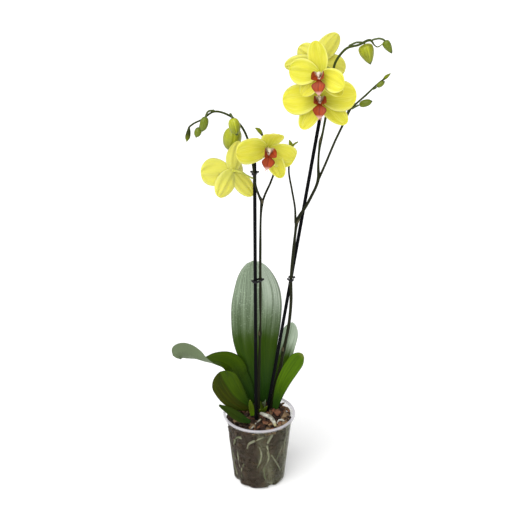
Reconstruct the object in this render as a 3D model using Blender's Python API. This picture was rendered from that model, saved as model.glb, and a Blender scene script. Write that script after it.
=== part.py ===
"""Potted moth orchid: two flower spikes tied to black canes, eight leaves, bark, roots and a clear pot.

Lengths below are in millimetres and become metres where a mesh is made. +Z is up, the pot stands on
z = 0, its axis is the Z axis and the plant's front looks along -Y.
"""
import math

import bmesh
import bpy
from mathutils import Matrix, Vector

MM = 0.001

# The pot, from which the bark, the canes' depth and the drainage notches follow.
POT_HEIGHT = 125.0
RIM_RADIUS = 60.0
LIP_DEPTH = 4.4
LIP_FLARE = 0.9
RIM_EDGE = 0.8
WALL = 0.85
BODY_TOP_RADIUS = 56.0
BASE_RADIUS = 44.0
BASE_CORNER = 5.0
NOTCH_COUNT = 4
NOTCH_FIRST_ANGLE = -60.0
NOTCH_SIZE = (7.0, 9.5, 8.4)

# The bark fill, clear of the pot by WALL_ROOM so that roots can run between the two.
BARK_TOP = 114.5
BARK_FLOOR = 1.4
WALL_ROOM = 1.5
BARK_BUMP = 0.5
BARK_CORNER = 3.5
BARK_RING_SHARES = (1.0, 0.86, 0.66, 0.46, 0.24)

FIT_GAP = 0.5
CANE_RADIUS = 2.7
CROWN_CENTRE = (-1.0, 26.0, 116.0)
CROWN_RADII = (10.5, 10.5, 11.0)

LEAF_THICKNESS = 1.3
TEPAL_THICKNESS = 1.0

# name: (red, green, blue), roughness
PAINTS = {
    "clear_plastic": ((0.50, 0.52, 0.47), 0.25),
    "bark": ((0.10, 0.055, 0.03), 0.9),
    "bark_chip": ((0.30, 0.13, 0.06), 0.85),
    "leaf": ((0.06, 0.16, 0.03), 0.35),
    "leaf_silver": ((0.16, 0.24, 0.13), 0.3),
    "leaf_olive": ((0.10, 0.13, 0.02), 0.4),
    "crown_green": ((0.20, 0.32, 0.05), 0.5),
    "spike_green": ((0.07, 0.10, 0.03), 0.45),
    "cane_black": ((0.01, 0.01, 0.01), 0.35),
    "clip_black": ((0.03, 0.03, 0.035), 0.3),
    "petal_yellow": ((0.78, 0.75, 0.09), 0.5),
    "sepal_yellow": ((0.66, 0.65, 0.08), 0.5),
    "lip_orange": ((0.58, 0.13, 0.03), 0.45),
    "column_cream": ((0.80, 0.72, 0.55), 0.5),
    "bud_green": ((0.33, 0.42, 0.04), 0.45),
    "root_white": ((0.72, 0.70, 0.60), 0.6),
}


def remove_scene_objects():
    for item in list(bpy.data.objects):
        bpy.data.objects.remove(item, do_unlink=True)


def make_paint(name):
    colour, roughness = PAINTS[name]
    paint = bpy.data.materials.new(name)
    paint.use_nodes = True
    shader = paint.node_tree.nodes["Principled BSDF"]
    shader.inputs["Base Color"].default_value = (*colour, 1.0)
    shader.inputs["Roughness"].default_value = roughness
    shader.inputs["Metallic"].default_value = 0.0
    paint.diffuse_color = (*colour, 1.0)
    return paint


def add_object(name, mesh, paint, smooth=True):
    for polygon in mesh.polygons:
        polygon.use_smooth = smooth
    mesh.materials.clear()
    mesh.materials.append(bpy.data.materials.get(paint) or make_paint(paint))
    item = bpy.data.objects.new(name, mesh)
    bpy.context.collection.objects.link(item)
    return item


def mesh_from(name, vertices, faces):
    """Closed or open mesh from points in millimetres, with its faces turned outward."""
    mesh = bpy.data.meshes.new(name)
    mesh.from_pydata([Vector(point) * MM for point in vertices], [], faces)
    shell = bmesh.new()
    shell.from_mesh(mesh)
    bmesh.ops.recalc_face_normals(shell, faces=shell.faces)
    shell.to_mesh(mesh)
    shell.free()
    return mesh


def hide_cutter(item):
    item.hide_render = True
    item.display_type = "WIRE"


def combine(item, other, operation):
    """Join or cut `item` with `other`, which stays as a hidden helper."""
    step = item.modifiers.new(operation.lower(), "BOOLEAN")
    step.operation = operation
    step.solver = "EXACT"
    step.object = other
    hide_cutter(other)


# ---- shapes -----------------------------------------------------------------------------------------

def tube(name, stations, paint, sides=1, steps=2):
    """Round tube through (x, y, z, radius) stations, smooth between them, with flat ends."""
    curve = bpy.data.curves.new(name + "_path", "CURVE")
    curve.dimensions = "3D"
    curve.bevel_depth = MM
    curve.bevel_resolution = sides
    curve.resolution_u = steps
    curve.use_fill_caps = True
    path = curve.splines.new("BEZIER")
    path.bezier_points.add(len(stations) - 1)
    for point, (x, y, z, radius) in zip(path.bezier_points, stations):
        point.co = Vector((x, y, z)) * MM
        point.radius = radius
        point.handle_left_type = "AUTO"
        point.handle_right_type = "AUTO"
    drawn = bpy.data.objects.new(name + "_path", curve)
    bpy.context.collection.objects.link(drawn)
    bpy.context.view_layer.update()
    shaped = drawn.evaluated_get(bpy.context.evaluated_depsgraph_get())
    mesh = bpy.data.meshes.new_from_object(shaped)
    bpy.data.objects.remove(drawn, do_unlink=True)
    shell = bmesh.new()
    shell.from_mesh(mesh)
    bmesh.ops.remove_doubles(shell, verts=shell.verts, dist=0.00002)
    bmesh.ops.recalc_face_normals(shell, faces=shell.faces)
    shell.to_mesh(mesh)
    shell.free()
    return add_object(name, mesh, paint)


def blend(values, place):
    """Smooth value of a list at `place` from 0 to 1, through every entry."""
    scaled = place * (len(values) - 1)
    index = min(int(scaled), len(values) - 2)
    part = scaled - index
    before = values[max(index - 1, 0)]
    start = values[index]
    end = values[index + 1]
    after = values[min(index + 2, len(values) - 1)]
    slope_in = (end - before) * 0.5
    slope_out = (after - start) * 0.5
    square = part * part
    cube = square * part
    return (start * (2 * cube - 3 * square + 1) + slope_in * (cube - 2 * square + part)
            + end * (3 * square - 2 * cube) + slope_out * (cube - square))


def sheet(name, rows, paint, thickness):
    """Thin closed body from rows of points, given its thickness by a Solidify modifier."""
    columns = len(rows[0])
    vertices = [point for row in rows for point in row]
    faces = []
    for row in range(len(rows) - 1):
        for column in range(columns - 1):
            corner = row * columns + column
            faces.append((corner, corner + 1, corner + columns + 1, corner + columns))
    item = add_object(name, mesh_from(name, vertices, faces), paint)
    skin = item.modifiers.new("thickness", "SOLIDIFY")
    skin.thickness = thickness * MM
    skin.offset = 0.0
    return item


def leaf(name, spine, fold, paint, columns=5):
    """Strap leaf along `spine` rows of (x, y, z, half_width, face_x, face_y, face_z), folded as a V."""
    points = [Vector(row[:3]) for row in spine]
    widths = [row[3] for row in spine]
    facings = [Vector(row[4:]) for row in spine]
    rows = 2 * (len(spine) - 1)
    grid = []
    for row in range(rows + 1):
        place = row / rows
        centre = blend(points, place)
        ahead = blend(points, min(place + 0.02, 1.0)) - blend(points, max(place - 0.02, 0.0))
        along = ahead.normalized()
        face = blend(facings, place)
        face = (face - along * face.dot(along)).normalized()
        across = along.cross(face)
        half = blend(widths, place)
        line = []
        for column in range(columns):
            side = 2.0 * column / (columns - 1) - 1.0
            rise = half * math.sin(fold) * (side * side) ** 0.8
            line.append(centre + across * (side * half * math.cos(fold)) + face * rise)
        grid.append(line)
    return sheet(name, grid, paint, LEAF_THICKNESS)


# ---- pot, bark and canes ----------------------------------------------------------------------------

def corner_arc(centre, radius, steps=3):
    """Points of the quarter circle from straight out to straight down, as (distance, height)."""
    return [(centre[0] + radius * math.cos(turn), centre[1] - radius * math.sin(turn))
            for turn in (math.pi / 2 * step / steps for step in range(steps + 1))]


def turned(name, outline, paint, steps=40):
    """Body turned about Z from an outline of (distance, height) points that starts and ends on the axis."""
    vertices = [(distance, 0.0, height) for distance, height in outline]
    mesh = bpy.data.meshes.new(name)
    mesh.from_pydata([Vector(point) * MM for point in vertices],
                     [(index, index + 1) for index in range(len(vertices) - 1)], [])
    item = add_object(name, mesh, paint)
    spin = item.modifiers.new("turn", "SCREW")
    spin.steps = steps
    spin.render_steps = steps
    spin.use_merge_vertices = True
    spin.merge_threshold = 0.00001
    return item


def wall_radius(height, inside):
    """Radius of the pot's straight wall at a height, outside or inside."""
    share = (height - BASE_CORNER) / (POT_HEIGHT - LIP_DEPTH - BASE_CORNER)
    outside = BASE_RADIUS + (BODY_TOP_RADIUS - BASE_RADIUS) * share
    return outside - WALL if inside else outside


def box(name, size, place, turn, paint):
    mesh = bpy.data.meshes.new(name)
    shell = bmesh.new()
    bmesh.ops.create_cube(shell, size=MM)
    bmesh.ops.scale(shell, vec=size, verts=shell.verts)
    bmesh.ops.transform(shell, matrix=Matrix.Rotation(turn, 4, "Z"), verts=shell.verts)
    bmesh.ops.translate(shell, vec=Vector(place) * MM, verts=shell.verts)
    shell.to_mesh(mesh)
    shell.free()
    return add_object(name, mesh, paint, smooth=False)


def ball(name, centre, radii, paint, segments=16, rings=10):
    mesh = bpy.data.meshes.new(name)
    shell = bmesh.new()
    bmesh.ops.create_uvsphere(shell, u_segments=segments, v_segments=rings, radius=MM)
    bmesh.ops.scale(shell, vec=radii, verts=shell.verts)
    bmesh.ops.translate(shell, vec=Vector(centre) * MM, verts=shell.verts)
    shell.to_mesh(mesh)
    shell.free()
    return add_object(name, mesh, paint)


def build_pot():
    lip_foot = POT_HEIGHT - LIP_DEPTH
    floor_corner = BASE_CORNER - WALL
    inner = [(BASE_RADIUS - BASE_CORNER, WALL)]
    inner += reversed(corner_arc((BASE_RADIUS - BASE_CORNER, BASE_CORNER), floor_corner)[:-1])
    outer = corner_arc((BASE_RADIUS - BASE_CORNER, BASE_CORNER), BASE_CORNER)
    outline = [(0.0, WALL)] + inner
    mouth = wall_radius(lip_foot, True)
    outline += [(mouth, lip_foot), (mouth + LIP_FLARE, POT_HEIGHT)]
    outline += [(RIM_RADIUS - RIM_EDGE, POT_HEIGHT), (RIM_RADIUS, POT_HEIGHT - RIM_EDGE)]
    outline += [(RIM_RADIUS, lip_foot), (BODY_TOP_RADIUS, lip_foot)]
    outline += outer + [(0.0, 0.0)]
    pot = turned("pot", outline, "clear_plastic", steps=48)
    for number in range(NOTCH_COUNT):
        angle = math.radians(NOTCH_FIRST_ANGLE + number * 360.0 / NOTCH_COUNT)
        place = (BASE_RADIUS * math.cos(angle), BASE_RADIUS * math.sin(angle), 0.0)
        notch = box(f"notch_cutter_{number}", NOTCH_SIZE, place, angle, "clear_plastic")
        combine(pot, notch, "DIFFERENCE")


def bark_surface(x, y):
    """Height of the uneven bark top at a place."""
    return BARK_TOP + BARK_BUMP * (math.sin(0.21 * x + 0.6) + math.cos(0.17 * y - 0.11 * x))


def build_bark():
    """Bark fill: rings of points up the side and over the uneven top."""
    segments = 32
    top_radius = wall_radius(BARK_TOP, True) - WALL_ROOM
    foot_radius = wall_radius(BASE_CORNER, True) - WALL_ROOM
    rings = [(foot_radius - BARK_CORNER, BARK_FLOOR), (foot_radius, BASE_CORNER + FIT_GAP)]
    rings += [(top_radius * share, None) for share in BARK_RING_SHARES]
    vertices = []
    for radius, height in rings:
        for segment in range(segments):
            turn = 2 * math.pi * segment / segments
            x = radius * math.cos(turn)
            y = radius * math.sin(turn)
            vertices.append((x, y, bark_surface(x, y) if height is None else height))
    faces = []
    for ring in range(len(rings) - 1):
        for segment in range(segments):
            after = (segment + 1) % segments
            start = ring * segments
            faces.append((start + segment, start + after,
                          start + segments + after, start + segments + segment))
    faces.append(tuple(reversed(range(segments))))
    summit = len(vertices)
    vertices.append((0.0, 0.0, bark_surface(0.0, 0.0)))
    last = (len(rings) - 1) * segments
    for segment in range(segments):
        faces.append((last + segment, last + (segment + 1) % segments, summit))
    bark = add_object("bark_bed", mesh_from("bark_bed", vertices, faces), "bark")
    pocket = ball("crown_pocket", CROWN_CENTRE, [radius + FIT_GAP for radius in CROWN_RADII], "bark")
    combine(bark, pocket, "DIFFERENCE")
    for name, (foot, head) in CANES.items():
        wide = CANE_RADIUS + FIT_GAP
        foot_below = (*(Vector(foot) - (Vector(head) - Vector(foot)).normalized() * FIT_GAP), wide)
        combine(bark, tube(name + "_hole", [foot_below, (*head, wide)], "bark", steps=1), "DIFFERENCE")


# name: (foot, top) of each straight cane's axis
CANES = {
    "left_cane": ((-4.6, -5.0, 24.0), (-6.0, -5.0, 557.0)),
    "right_cane": ((0.6, 22.0, 27.0), (92.2, 22.0, 625.0)),
}


def build_canes():
    for name, (foot, head) in CANES.items():
        tube(name, [(*foot, CANE_RADIUS), (*head, CANE_RADIUS)], "cane_black", steps=1)


# name: (centre, size, turn in degrees about Z) of the loose chips on top of the bark
CHIPS = {
    "chip_tan": ((31.0, 8.0, 118.3), (11.0, 13.0, 4.0), 35.0),
    "chip_right": ((43.0, -2.0, 118.2), (9.0, 11.0, 4.2), -20.0),
    "chip_back": ((36.0, 28.0, 118.0), (8.0, 11.0, 3.8), 50.0),
    "chip_left": ((-38.0, -16.0, 118.0), (11.0, 8.0, 3.8), 25.0),
}
CHIP_WEAR = 0.9


def build_chips():
    for name, (centre, size, turn) in CHIPS.items():
        chip = box(name, size, centre, math.radians(turn), "bark_chip")
        edge = chip.modifiers.new("worn_edge", "BEVEL")
        edge.width = CHIP_WEAR * MM
        edge.segments = 2


# (x, y, z, radius) along each root that lies on the bark
ROOTS = {
    "root_white": ((7.0, 3.0, 118.6, 2.3), (12.0, -3.0, 119.3, 2.9), (19.0, -8.0, 119.0, 2.8),
                   (24.0, -19.0, 118.6, 2.4), (26.5, -32.0, 117.6, 1.3)),
    "root_small": ((30.5, -23.0, 117.6, 1.3), (33.5, -16.5, 118.6, 1.8), (38.0, -15.0, 118.8, 1.8),
                   (42.5, -19.0, 117.4, 1.1)),
    "root_thin": ((-12.5, -41.0, 117.2, 1.1), (-5.0, -25.0, 117.9, 1.3), (2.5, -12.5, 117.6, 1.3)),
}


def build_roots():
    for name, stations in ROOTS.items():
        tube(name, stations, "root_white")


# ---- leaves -----------------------------------------------------------------------------------------

# name: (paint, fold in degrees, spine rows of x, y, z, half_width, facing)
LEAVES = {
    "leaf_back_tall": ("leaf_silver", 9.0, (
        (5.0, 38.0, 121.0, 6.0, 0.0, -1.0, 0.2), (2.5, 37.5, 155.0, 14.5, 0.0, -1.0, 0.2),
        (-2.5, 41.0, 195.0, 24.0, 0.0, -1.0, 0.2), (-6.0, 45.0, 236.0, 35.5, 0.0, -1.0, 0.2),
        (-4.5, 50.0, 280.0, 41.5, 0.0, -1.0, 0.2), (-3.4, 56.0, 318.0, 39.5, 0.0, -1.0, 0.2),
        (-6.5, 63.0, 347.0, 30.0, 0.0, -1.0, 0.2), (-11.5, 69.0, 369.0, 4.0, 0.0, -1.0, 0.2))),
    "leaf_left_arching": ("leaf", 12.0, (
        (-12.5, 25.0, 124.0, 5.0, 0.35, -0.75, 0.55), (-25.5, 21.0, 152.5, 14.0, 0.35, -0.75, 0.55),
        (-39.9, 17.0, 175.7, 21.0, 0.3, -0.75, 0.55), (-50.9, 11.0, 207.3, 23.0, 0.2, -0.5, 0.8),
        (-66.0, 4.0, 216.7, 21.5, 0.1, -0.15, 1.0), (-81.1, -3.0, 220.5, 19.5, 0.0, 0.16, 0.98),
        (-95.9, -9.0, 228.7, 18.5, 0.0, 0.5, 0.86), (-106.7, -12.0, 238.2, 18.0, 0.0, 0.75, 0.68),
        (-117.5, -15.0, 246.7, 18.0, 0.0, 0.85, 0.5), (-129.1, -18.0, 248.2, 15.0, 0.0, 0.9, 0.42),
        (-137.8, -21.0, 243.9, 5.0, 0.0, 0.9, 0.42))),
    "leaf_left_lower": ("leaf_olive", 12.0, (
        (-10.0, 13.0, 122.0, 4.5, 0.3, -0.85, 0.45), (-17.5, 7.0, 131.0, 8.0, 0.3, -0.85, 0.45),
        (-29.0, 0.0, 143.5, 15.5, 0.3, -0.85, 0.45), (-41.0, -5.5, 159.0, 21.5, 0.25, -0.85, 0.45),
        (-51.5, -10.5, 178.5, 23.5, 0.2, -0.85, 0.45), (-59.5, -15.0, 197.5, 20.5, 0.2, -0.85, 0.45),
        (-63.5, -17.5, 210.5, 10.0, 0.2, -0.85, 0.45))),
    "leaf_left_pointed": ("leaf", 14.0, (
        (-15.5, -21.0, 117.5, 3.5, 0.3, -0.6, 0.75), (-33.0, -25.0, 129.5, 9.0, 0.3, -0.6, 0.75),
        (-49.0, -26.0, 142.0, 8.0, 0.3, -0.6, 0.75), (-65.5, -25.0, 153.5, 1.6, 0.3, -0.6, 0.75))),
    "leaf_left_sliver": ("leaf", 10.0, (
        (-41.5, -3.0, 118.0, 1.8, 0.4, -0.5, 0.8), (-52.0, -3.8, 127.0, 2.2, 0.4, -0.5, 0.8),
        (-59.0, -4.5, 132.0, 2.0, 0.4, -0.5, 0.8), (-66.0, -6.0, 140.0, 0.9, 0.4, -0.5, 0.8))),
    "leaf_right_front": ("leaf", 10.0, (
        (27.0, 20.0, 119.0, 5.0, -0.3, -0.85, 0.4), (33.5, 17.0, 151.0, 9.0, -0.3, -0.85, 0.4),
        (42.5, 12.0, 179.0, 12.0, -0.3, -0.85, 0.4), (53.5, 6.5, 204.0, 13.5, -0.3, -0.85, 0.4),
        (64.0, 2.5, 223.0, 11.5, -0.3, -0.85, 0.4), (71.5, 0.5, 233.5, 4.0, -0.3, -0.85, 0.4))),
    "leaf_right_back": ("leaf", 12.0, (
        (15.5, 41.0, 119.0, 5.5, -0.2, -0.9, 0.3), (27.0, 46.0, 155.0, 12.0, -0.2, -0.9, 0.3),
        (37.5, 50.0, 190.0, 15.0, -0.2, -0.9, 0.3), (46.5, 54.0, 222.0, 15.0, -0.2, -0.9, 0.3),
        (53.0, 58.0, 246.0, 12.0, -0.2, -0.9, 0.3), (56.0, 60.0, 261.5, 4.0, -0.2, -0.9, 0.3))),
    "leaf_sheath": ("crown_green", 14.0, (
        (-11.0, -1.0, 118.2, 3.2, 0.2, -0.9, 0.3), (-12.0, 0.0, 128.0, 4.5, 0.2, -0.9, 0.3),
        (-14.0, 1.0, 139.0, 3.8, 0.2, -0.9, 0.3), (-15.0, 2.0, 147.0, 1.0, 0.2, -0.9, 0.3))),
}


def build_leaves():
    for name, (paint, fold, spine) in LEAVES.items():
        leaf(name, spine, math.radians(fold), paint)


# ---- spikes, clips and buds -------------------------------------------------------------------------

# Each spike is a main stem and the branches that fork off inside it: (x, y, z, radius) stations.
SPIKES = {
    "left_spike": (
        ((-1.0, 12.0, 117.2, 3.0), (-0.5, 9.5, 165.0, 2.6), (0.6, 6.0, 219.0, 2.4), (1.6, 4.0, 262.0, 2.3),
         (1.7, 4.0, 268.0, 2.9), (2.0, 3.0, 275.0, 2.2), (2.3, 2.0, 329.0, 2.2), (2.4, 2.0, 414.0, 2.1),
         (4.0, 0.0, 484.0, 2.2), (4.7, -1.0, 493.0, 2.7), (1.0, -6.5, 504.0, 1.9),
         (-4.5, -12.5, 523.0, 1.8), (-6.8, -12.5, 543.6, 1.8), (-9.8, -8.0, 561.0, 1.7),
         (-12.8, 2.0, 573.0, 1.7), (-16.0, 8.0, 587.3, 1.7), (-26.6, 8.0, 609.0, 1.7),
         (-43.3, 5.0, 624.5, 1.6), (-65.2, 0.0, 631.0, 1.5), (-81.9, -3.0, 620.5, 1.3),
         (-97.0, -5.0, 613.0, 1.4), (-101.5, -5.0, 609.0, 1.9), (-101.5, -5.5, 600.0, 1.5),
         (-104.0, -5.5, 593.0, 2.3), (-104.5, -5.5, 589.5, 0.8)),
        ((4.5, -0.6, 489.0, 1.7), (8.8, 2.0, 501.8, 1.7), (18.5, 2.0, 525.0, 1.6),
         (23.0, 4.0, 538.8, 1.5), (21.4, 8.0, 559.9, 1.4), (13.9, 10.0, 579.0, 1.2),
         (6.0, 11.0, 592.0, 1.1), (2.0, 11.0, 600.0, 2.6), (-1.5, 11.0, 604.0, 0.8)),
    ),
    "right_spike": (
        ((19.5, 28.5, 117.0, 3.3), (26.5, 28.5, 154.0, 3.2), (35.0, 28.5, 188.5, 3.0),
         (39.6, 28.5, 219.0, 2.9), (40.6, 28.5, 226.0, 3.5), (42.0, 28.0, 233.0, 2.9),
         (47.4, 26.0, 264.0, 2.7), (51.6, 19.0, 320.7, 2.5), (50.9, 14.0, 359.6, 2.4),
         (51.9, 14.0, 408.9, 2.3), (55.6, 14.0, 449.0, 2.4), (56.8, 14.0, 456.0, 3.1),
         (62.0, 14.0, 466.5, 2.4), (70.0, 13.5, 477.5, 2.3), (79.7, 14.0, 496.2, 2.3),
         (89.5, 14.0, 521.0, 2.4), (90.6, 13.5, 528.5, 2.7), (89.8, 13.0, 540.0, 2.1),
         (90.8, 12.0, 575.0, 2.0), (91.8, 12.0, 583.0, 2.5), (94.0, 12.5, 592.0, 1.9),
         (98.9, 14.0, 620.0, 1.9), (105.7, 14.0, 652.5, 1.9), (108.3, 12.0, 682.0, 1.8),
         (109.0, 8.0, 697.3, 1.8), (116.1, 4.0, 711.8, 1.8), (125.4, 0.0, 722.0, 1.8),
         (140.3, -5.0, 727.0, 1.6), (158.5, -8.0, 733.4, 1.7), (162.5, -9.0, 728.0, 1.0),
         (166.0, -10.0, 725.5, 0.9), (176.0, -12.0, 731.0, 0.6)),
        ((90.4, 13.6, 524.0, 1.9), (99.9, 16.0, 546.2, 1.8), (114.7, 18.0, 584.2, 1.7),
         (125.3, 20.0, 607.4, 1.7), (131.0, 20.0, 621.0, 1.8), (134.8, 20.0, 630.5, 2.4),
         (142.0, 20.0, 637.0, 1.6), (157.5, 20.0, 651.3, 1.5), (177.1, 20.0, 670.3, 1.3),
         (182.0, 20.0, 674.0, 1.5), (185.5, 20.0, 677.5, 2.6), (191.5, 20.0, 682.5, 0.7)),
        ((56.6, 13.6, 455.0, 1.9), (55.6, 8.0, 478.0, 1.6), (50.0, 0.0, 511.9, 1.5),
         (44.9, -3.0, 545.0, 1.4), (46.5, -0.5, 566.0, 1.4), (49.0, 1.5, 576.0, 1.8),
         (46.0, 2.0, 586.0, 0.8)),
        ((48.6, 1.3, 574.5, 1.0), (52.0, 2.0, 580.0, 1.2), (57.0, 2.0, 585.0, 0.8)),
    ),
}


def build_spikes():
    for name, (main, *branches) in SPIKES.items():
        spike = tube(name, main, "spike_green")
        for number, stations in enumerate(branches):
            combine(spike, tube(f"{name}_branch_{number}", stations, "spike_green"), "UNION")


# name: (cane axis, stem axis, height, cane radius, stem radius)
CLIPS = {
    "clip_left_upper": ((-6.0, -5.0), (-6.7, -12.6), 541.0, 1.9),
    "clip_left_lower": ((-5.4, -5.0), (2.3, 2.0), 364.0, 2.2),
    "clip_right": ((51.4, 22.0), (50.9, 14.0), 359.0, 2.5),
}
CLIP_HEIGHT = 3.4
CLIP_WALL = 1.2
CLIP_CLEAR = 0.8
CLIP_EAR = (3.4, 1.4, 3.4)
CLIP_EAR_OUT = 0.9


def loop_points(first, first_radius, second, second_radius, steps=7):
    """Outline of a band stretched around two circles, as (x, y) points."""
    ahead = math.atan2(second[1] - first[1], second[0] - first[0])
    points = []
    for centre, radius, start in ((first, first_radius, ahead + math.pi / 2),
                                  (second, second_radius, ahead - math.pi / 2)):
        for step in range(steps + 1):
            turn = start + math.pi * step / steps
            points.append((centre[0] + radius * math.cos(turn), centre[1] + radius * math.sin(turn)))
    return points


def build_clips():
    for name, (cane, stem, height, stem_radius) in CLIPS.items():
        cane_clear = CANE_RADIUS + CLIP_CLEAR
        stem_clear = stem_radius + CLIP_CLEAR
        inner = loop_points(cane, cane_clear, stem, stem_clear)
        outer = loop_points(cane, cane_clear + CLIP_WALL, stem, stem_clear + CLIP_WALL)
        count = len(inner)
        vertices = []
        for level in (height - CLIP_HEIGHT / 2, height + CLIP_HEIGHT / 2):
            vertices += [(x, y, level) for x, y in inner]
            vertices += [(x, y, level) for x, y in outer]
        faces = []
        for index in range(count):
            after = (index + 1) % count
            top = 2 * count
            faces.append((index, after, count + after, count + index))
            faces.append((top + index, top + after, top + count + after, top + count + index))
            faces.append((index, after, top + after, top + index))
            faces.append((count + index, count + after, top + count + after, top + count + index))
        clip = add_object(name, mesh_from(name, vertices, faces), "clip_black", smooth=False)
        for (x, y), side, end in ((min(outer), -1, "left"), (max(outer), 1, "right")):
            place = (x + side * CLIP_EAR_OUT, y, height)
            ear = box(f"{name}_ear_{end}", CLIP_EAR, place, 0.0, "clip_black")
            combine(clip, ear, "UNION")


# name: (stalk start, stalk bend, bud neck, bud tip, bud radius)
BUDS = {
    "bud_left_first": ((-41.0, 0.5, 627.5), (-39.8, -3.5, 627.5), (-37.8, -5.5, 623.0),
                       (-32.0, -9.0, 600.0), 8.2),
    "bud_left_second": ((-27.0, 11.0, 608.5), (-31.5, 15.0, 609.0), (-36.0, 18.5, 603.0),
                        (-43.0, 20.0, 568.5), 13.4),
    "bud_left_third": ((-65.6, -3.2, 633.5), (-73.0, -8.0, 633.0), (-76.5, -10.5, 626.0),
                       (-81.5, -12.5, 606.0), 6.0),
    "bud_left_fourth": ((-84.0, -2.0, 616.6), (-84.8, -1.5, 613.0), (-86.2, -1.5, 608.0),
                        (-91.5, -3.0, 594.5), 5.2),
    "bud_right_first": ((129.5, 3.2, 725.5), (141.0, 4.5, 729.5), (150.5, 4.5, 727.0),
                        (159.5, 1.0, 700.0), 10.6),
    "bud_right_second": ((161.5, -7.0, 735.0), (170.5, -8.5, 736.5), (177.0, -8.5, 733.5),
                         (188.0, -9.0, 716.5), 5.6),
    "bud_branch_first": ((138.6, 17.2, 632.2), (142.5, 17.5, 634.5), (148.0, 17.5, 637.0),
                         (165.5, 15.0, 643.0), 5.2),
    "bud_branch_second": ((167.5, 16.8, 661.0), (169.5, 15.3, 662.0), (172.0, 14.4, 664.5),
                          (182.5, 14.0, 672.0), 3.8),
}
STALK_RADIUS = 0.9
# (share of the length from neck to tip, share of the bud's radius)
BUD_FORM = ((0.0, 0.16), (0.14, 0.62), (0.36, 1.0), (0.62, 0.95), (0.86, 0.58), (1.0, 0.14))


def build_buds():
    for name, (start, bend, neck, tip, radius) in BUDS.items():
        neck = Vector(neck)
        tip = Vector(tip)
        stations = [(*start, STALK_RADIUS), (*bend, STALK_RADIUS)]
        stations += [(*(neck + (tip - neck) * share), size * radius) for share, size in BUD_FORM]
        tube(name, stations, "bud_green", sides=2, steps=1)


# ---- flowers ----------------------------------------------------------------------------------------

# Each flower: centre, facing, up, stalk stations behind it, and its five outer leaves as
# (turn from up in degrees, length, half width, tilt forward in degrees, further curl in degrees).
FLOWERS = {
    "flower_left_front": {
        "centre": (14.0, -30.0, 585.0), "facing": (0.22, -0.92, -0.20), "up": (0.16, 0.0, 1.0),
        "stalk": ((19.0, -12.0, 583.0), (18.5, 5.0, 577.0)),
        "dorsal": (2.0, 43.0, 16.0, 4.0, 66.0),
        "petal_left": (-98.0, 47.0, 22.0, 14.0, -6.0), "petal_right": (109.0, 44.0, 20.5, 5.0, -18.0),
        "sepal_left": (-126.0, 40.0, 13.0, 2.0, -8.0), "sepal_right": (137.0, 47.0, 13.0, -4.0, -10.0)},
    "flower_left_back": {
        "centre": (-39.0, 3.0, 541.0), "facing": (-0.45, 0.85, -0.25), "up": (0.0, 0.0, 1.0),
        "stalk": ((-28.0, -10.0, 543.0), (-9.2, -13.0, 534.5)),
        "dorsal": (-12.0, 45.0, 14.0, -6.0, -26.0),
        "petal_left": (-88.0, 40.0, 18.0, 40.0, 10.0), "petal_right": (86.0, 46.0, 21.0, 8.0, 0.0),
        "sepal_left": (-146.0, 48.0, 14.0, 0.0, 0.0), "sepal_right": (140.0, 44.0, 15.5, 0.0, 0.0)},
    "flower_right_upper": {
        "centre": (86.0, -38.0, 694.0), "facing": (-0.32, -0.94, 0.05), "up": (-0.1, 0.0, 1.0),
        "stalk": ((92.0, -14.0, 690.0), (105.5, 8.0, 684.0)),
        "dorsal": (-6.0, 43.0, 14.5, 2.0, 4.0),
        "petal_left": (-82.0, 41.0, 18.5, 8.0, 0.0), "petal_right": (110.0, 42.0, 17.5, 30.0, 2.0),
        "sepal_left": (-136.0, 40.0, 12.5, 0.0, 0.0), "sepal_right": (134.0, 43.0, 12.5, 4.0, 14.0)},
    "flower_right_lower": {
        "centre": (87.5, -16.0, 655.0), "facing": (-0.05, -0.98, 0.1), "up": (0.0, 0.0, 1.0),
        "stalk": ((92.0, -4.0, 653.0), (101.5, 10.5, 646.0)),
        "dorsal": (0.0, 34.0, 13.0, -14.0, 0.0),
        "petal_left": (-95.0, 50.0, 22.0, 6.0, 0.0), "petal_right": (84.0, 49.0, 22.0, 6.0, 0.0),
        "sepal_left": (-151.0, 50.0, 14.0, 0.0, 0.0), "sepal_right": (133.0, 52.0, 14.0, 0.0, 0.0)},
    "flower_right_back": {
        "centre": (84.0, 25.0, 700.0), "facing": (0.10, 0.97, 0.15), "up": (0.58, 0.0, 0.82),
        "stalk": ((92.0, 15.0, 697.0), (104.5, 13.0, 690.0)),
        "dorsal": (0.0, 49.0, 14.5, 0.0, 0.0),
        "petal_left": (-78.0, 42.0, 19.0, 8.0, 0.0), "petal_right": (92.0, 30.0, 14.5, 14.0, 0.0),
        "sepal_left": (-140.0, 38.0, 13.0, 1.0, 0.0), "sepal_right": (136.0, 45.5, 13.0, 1.0, 0.0)},
}
SEPAL_BACKSET = 1.7
PETAL_START = 3.2
RECEPTACLE_RADIUS = 2.4
RECEPTACLE_BACKSET = 3.3
RECEPTACLE_FRONT = 0.9
FLOWER_STALK_RADIUS = 1.3
# (distance out along the facing, radius) of the column
COLUMN_FORM = ((0.0, 1.7), (3.0, 1.8), (6.5, 2.4), (9.0, 1.9), (9.8, 0.7))
# (turn, length, half width, tilt, curl, start radius, start height) of the lip's three lobes
LIP_LOBES = (
    (180.0, 31.0, 9.0, 58.0, -64.0, 3.4, 1.6),
    (-122.0, 13.0, 5.5, 58.0, 10.0, 3.4, 3.2),
    (122.0, 13.0, 5.5, 58.0, 10.0, 3.4, 3.2),
)


def flower_frame(design):
    """Facing, up and right directions of a flower, at right angles to each other."""
    facing = Vector(design["facing"]).normalized()
    up = Vector(design["up"])
    up = (up - facing * up.dot(facing)).normalized()
    return Vector(design["centre"]), facing, up, up.cross(facing)


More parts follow.
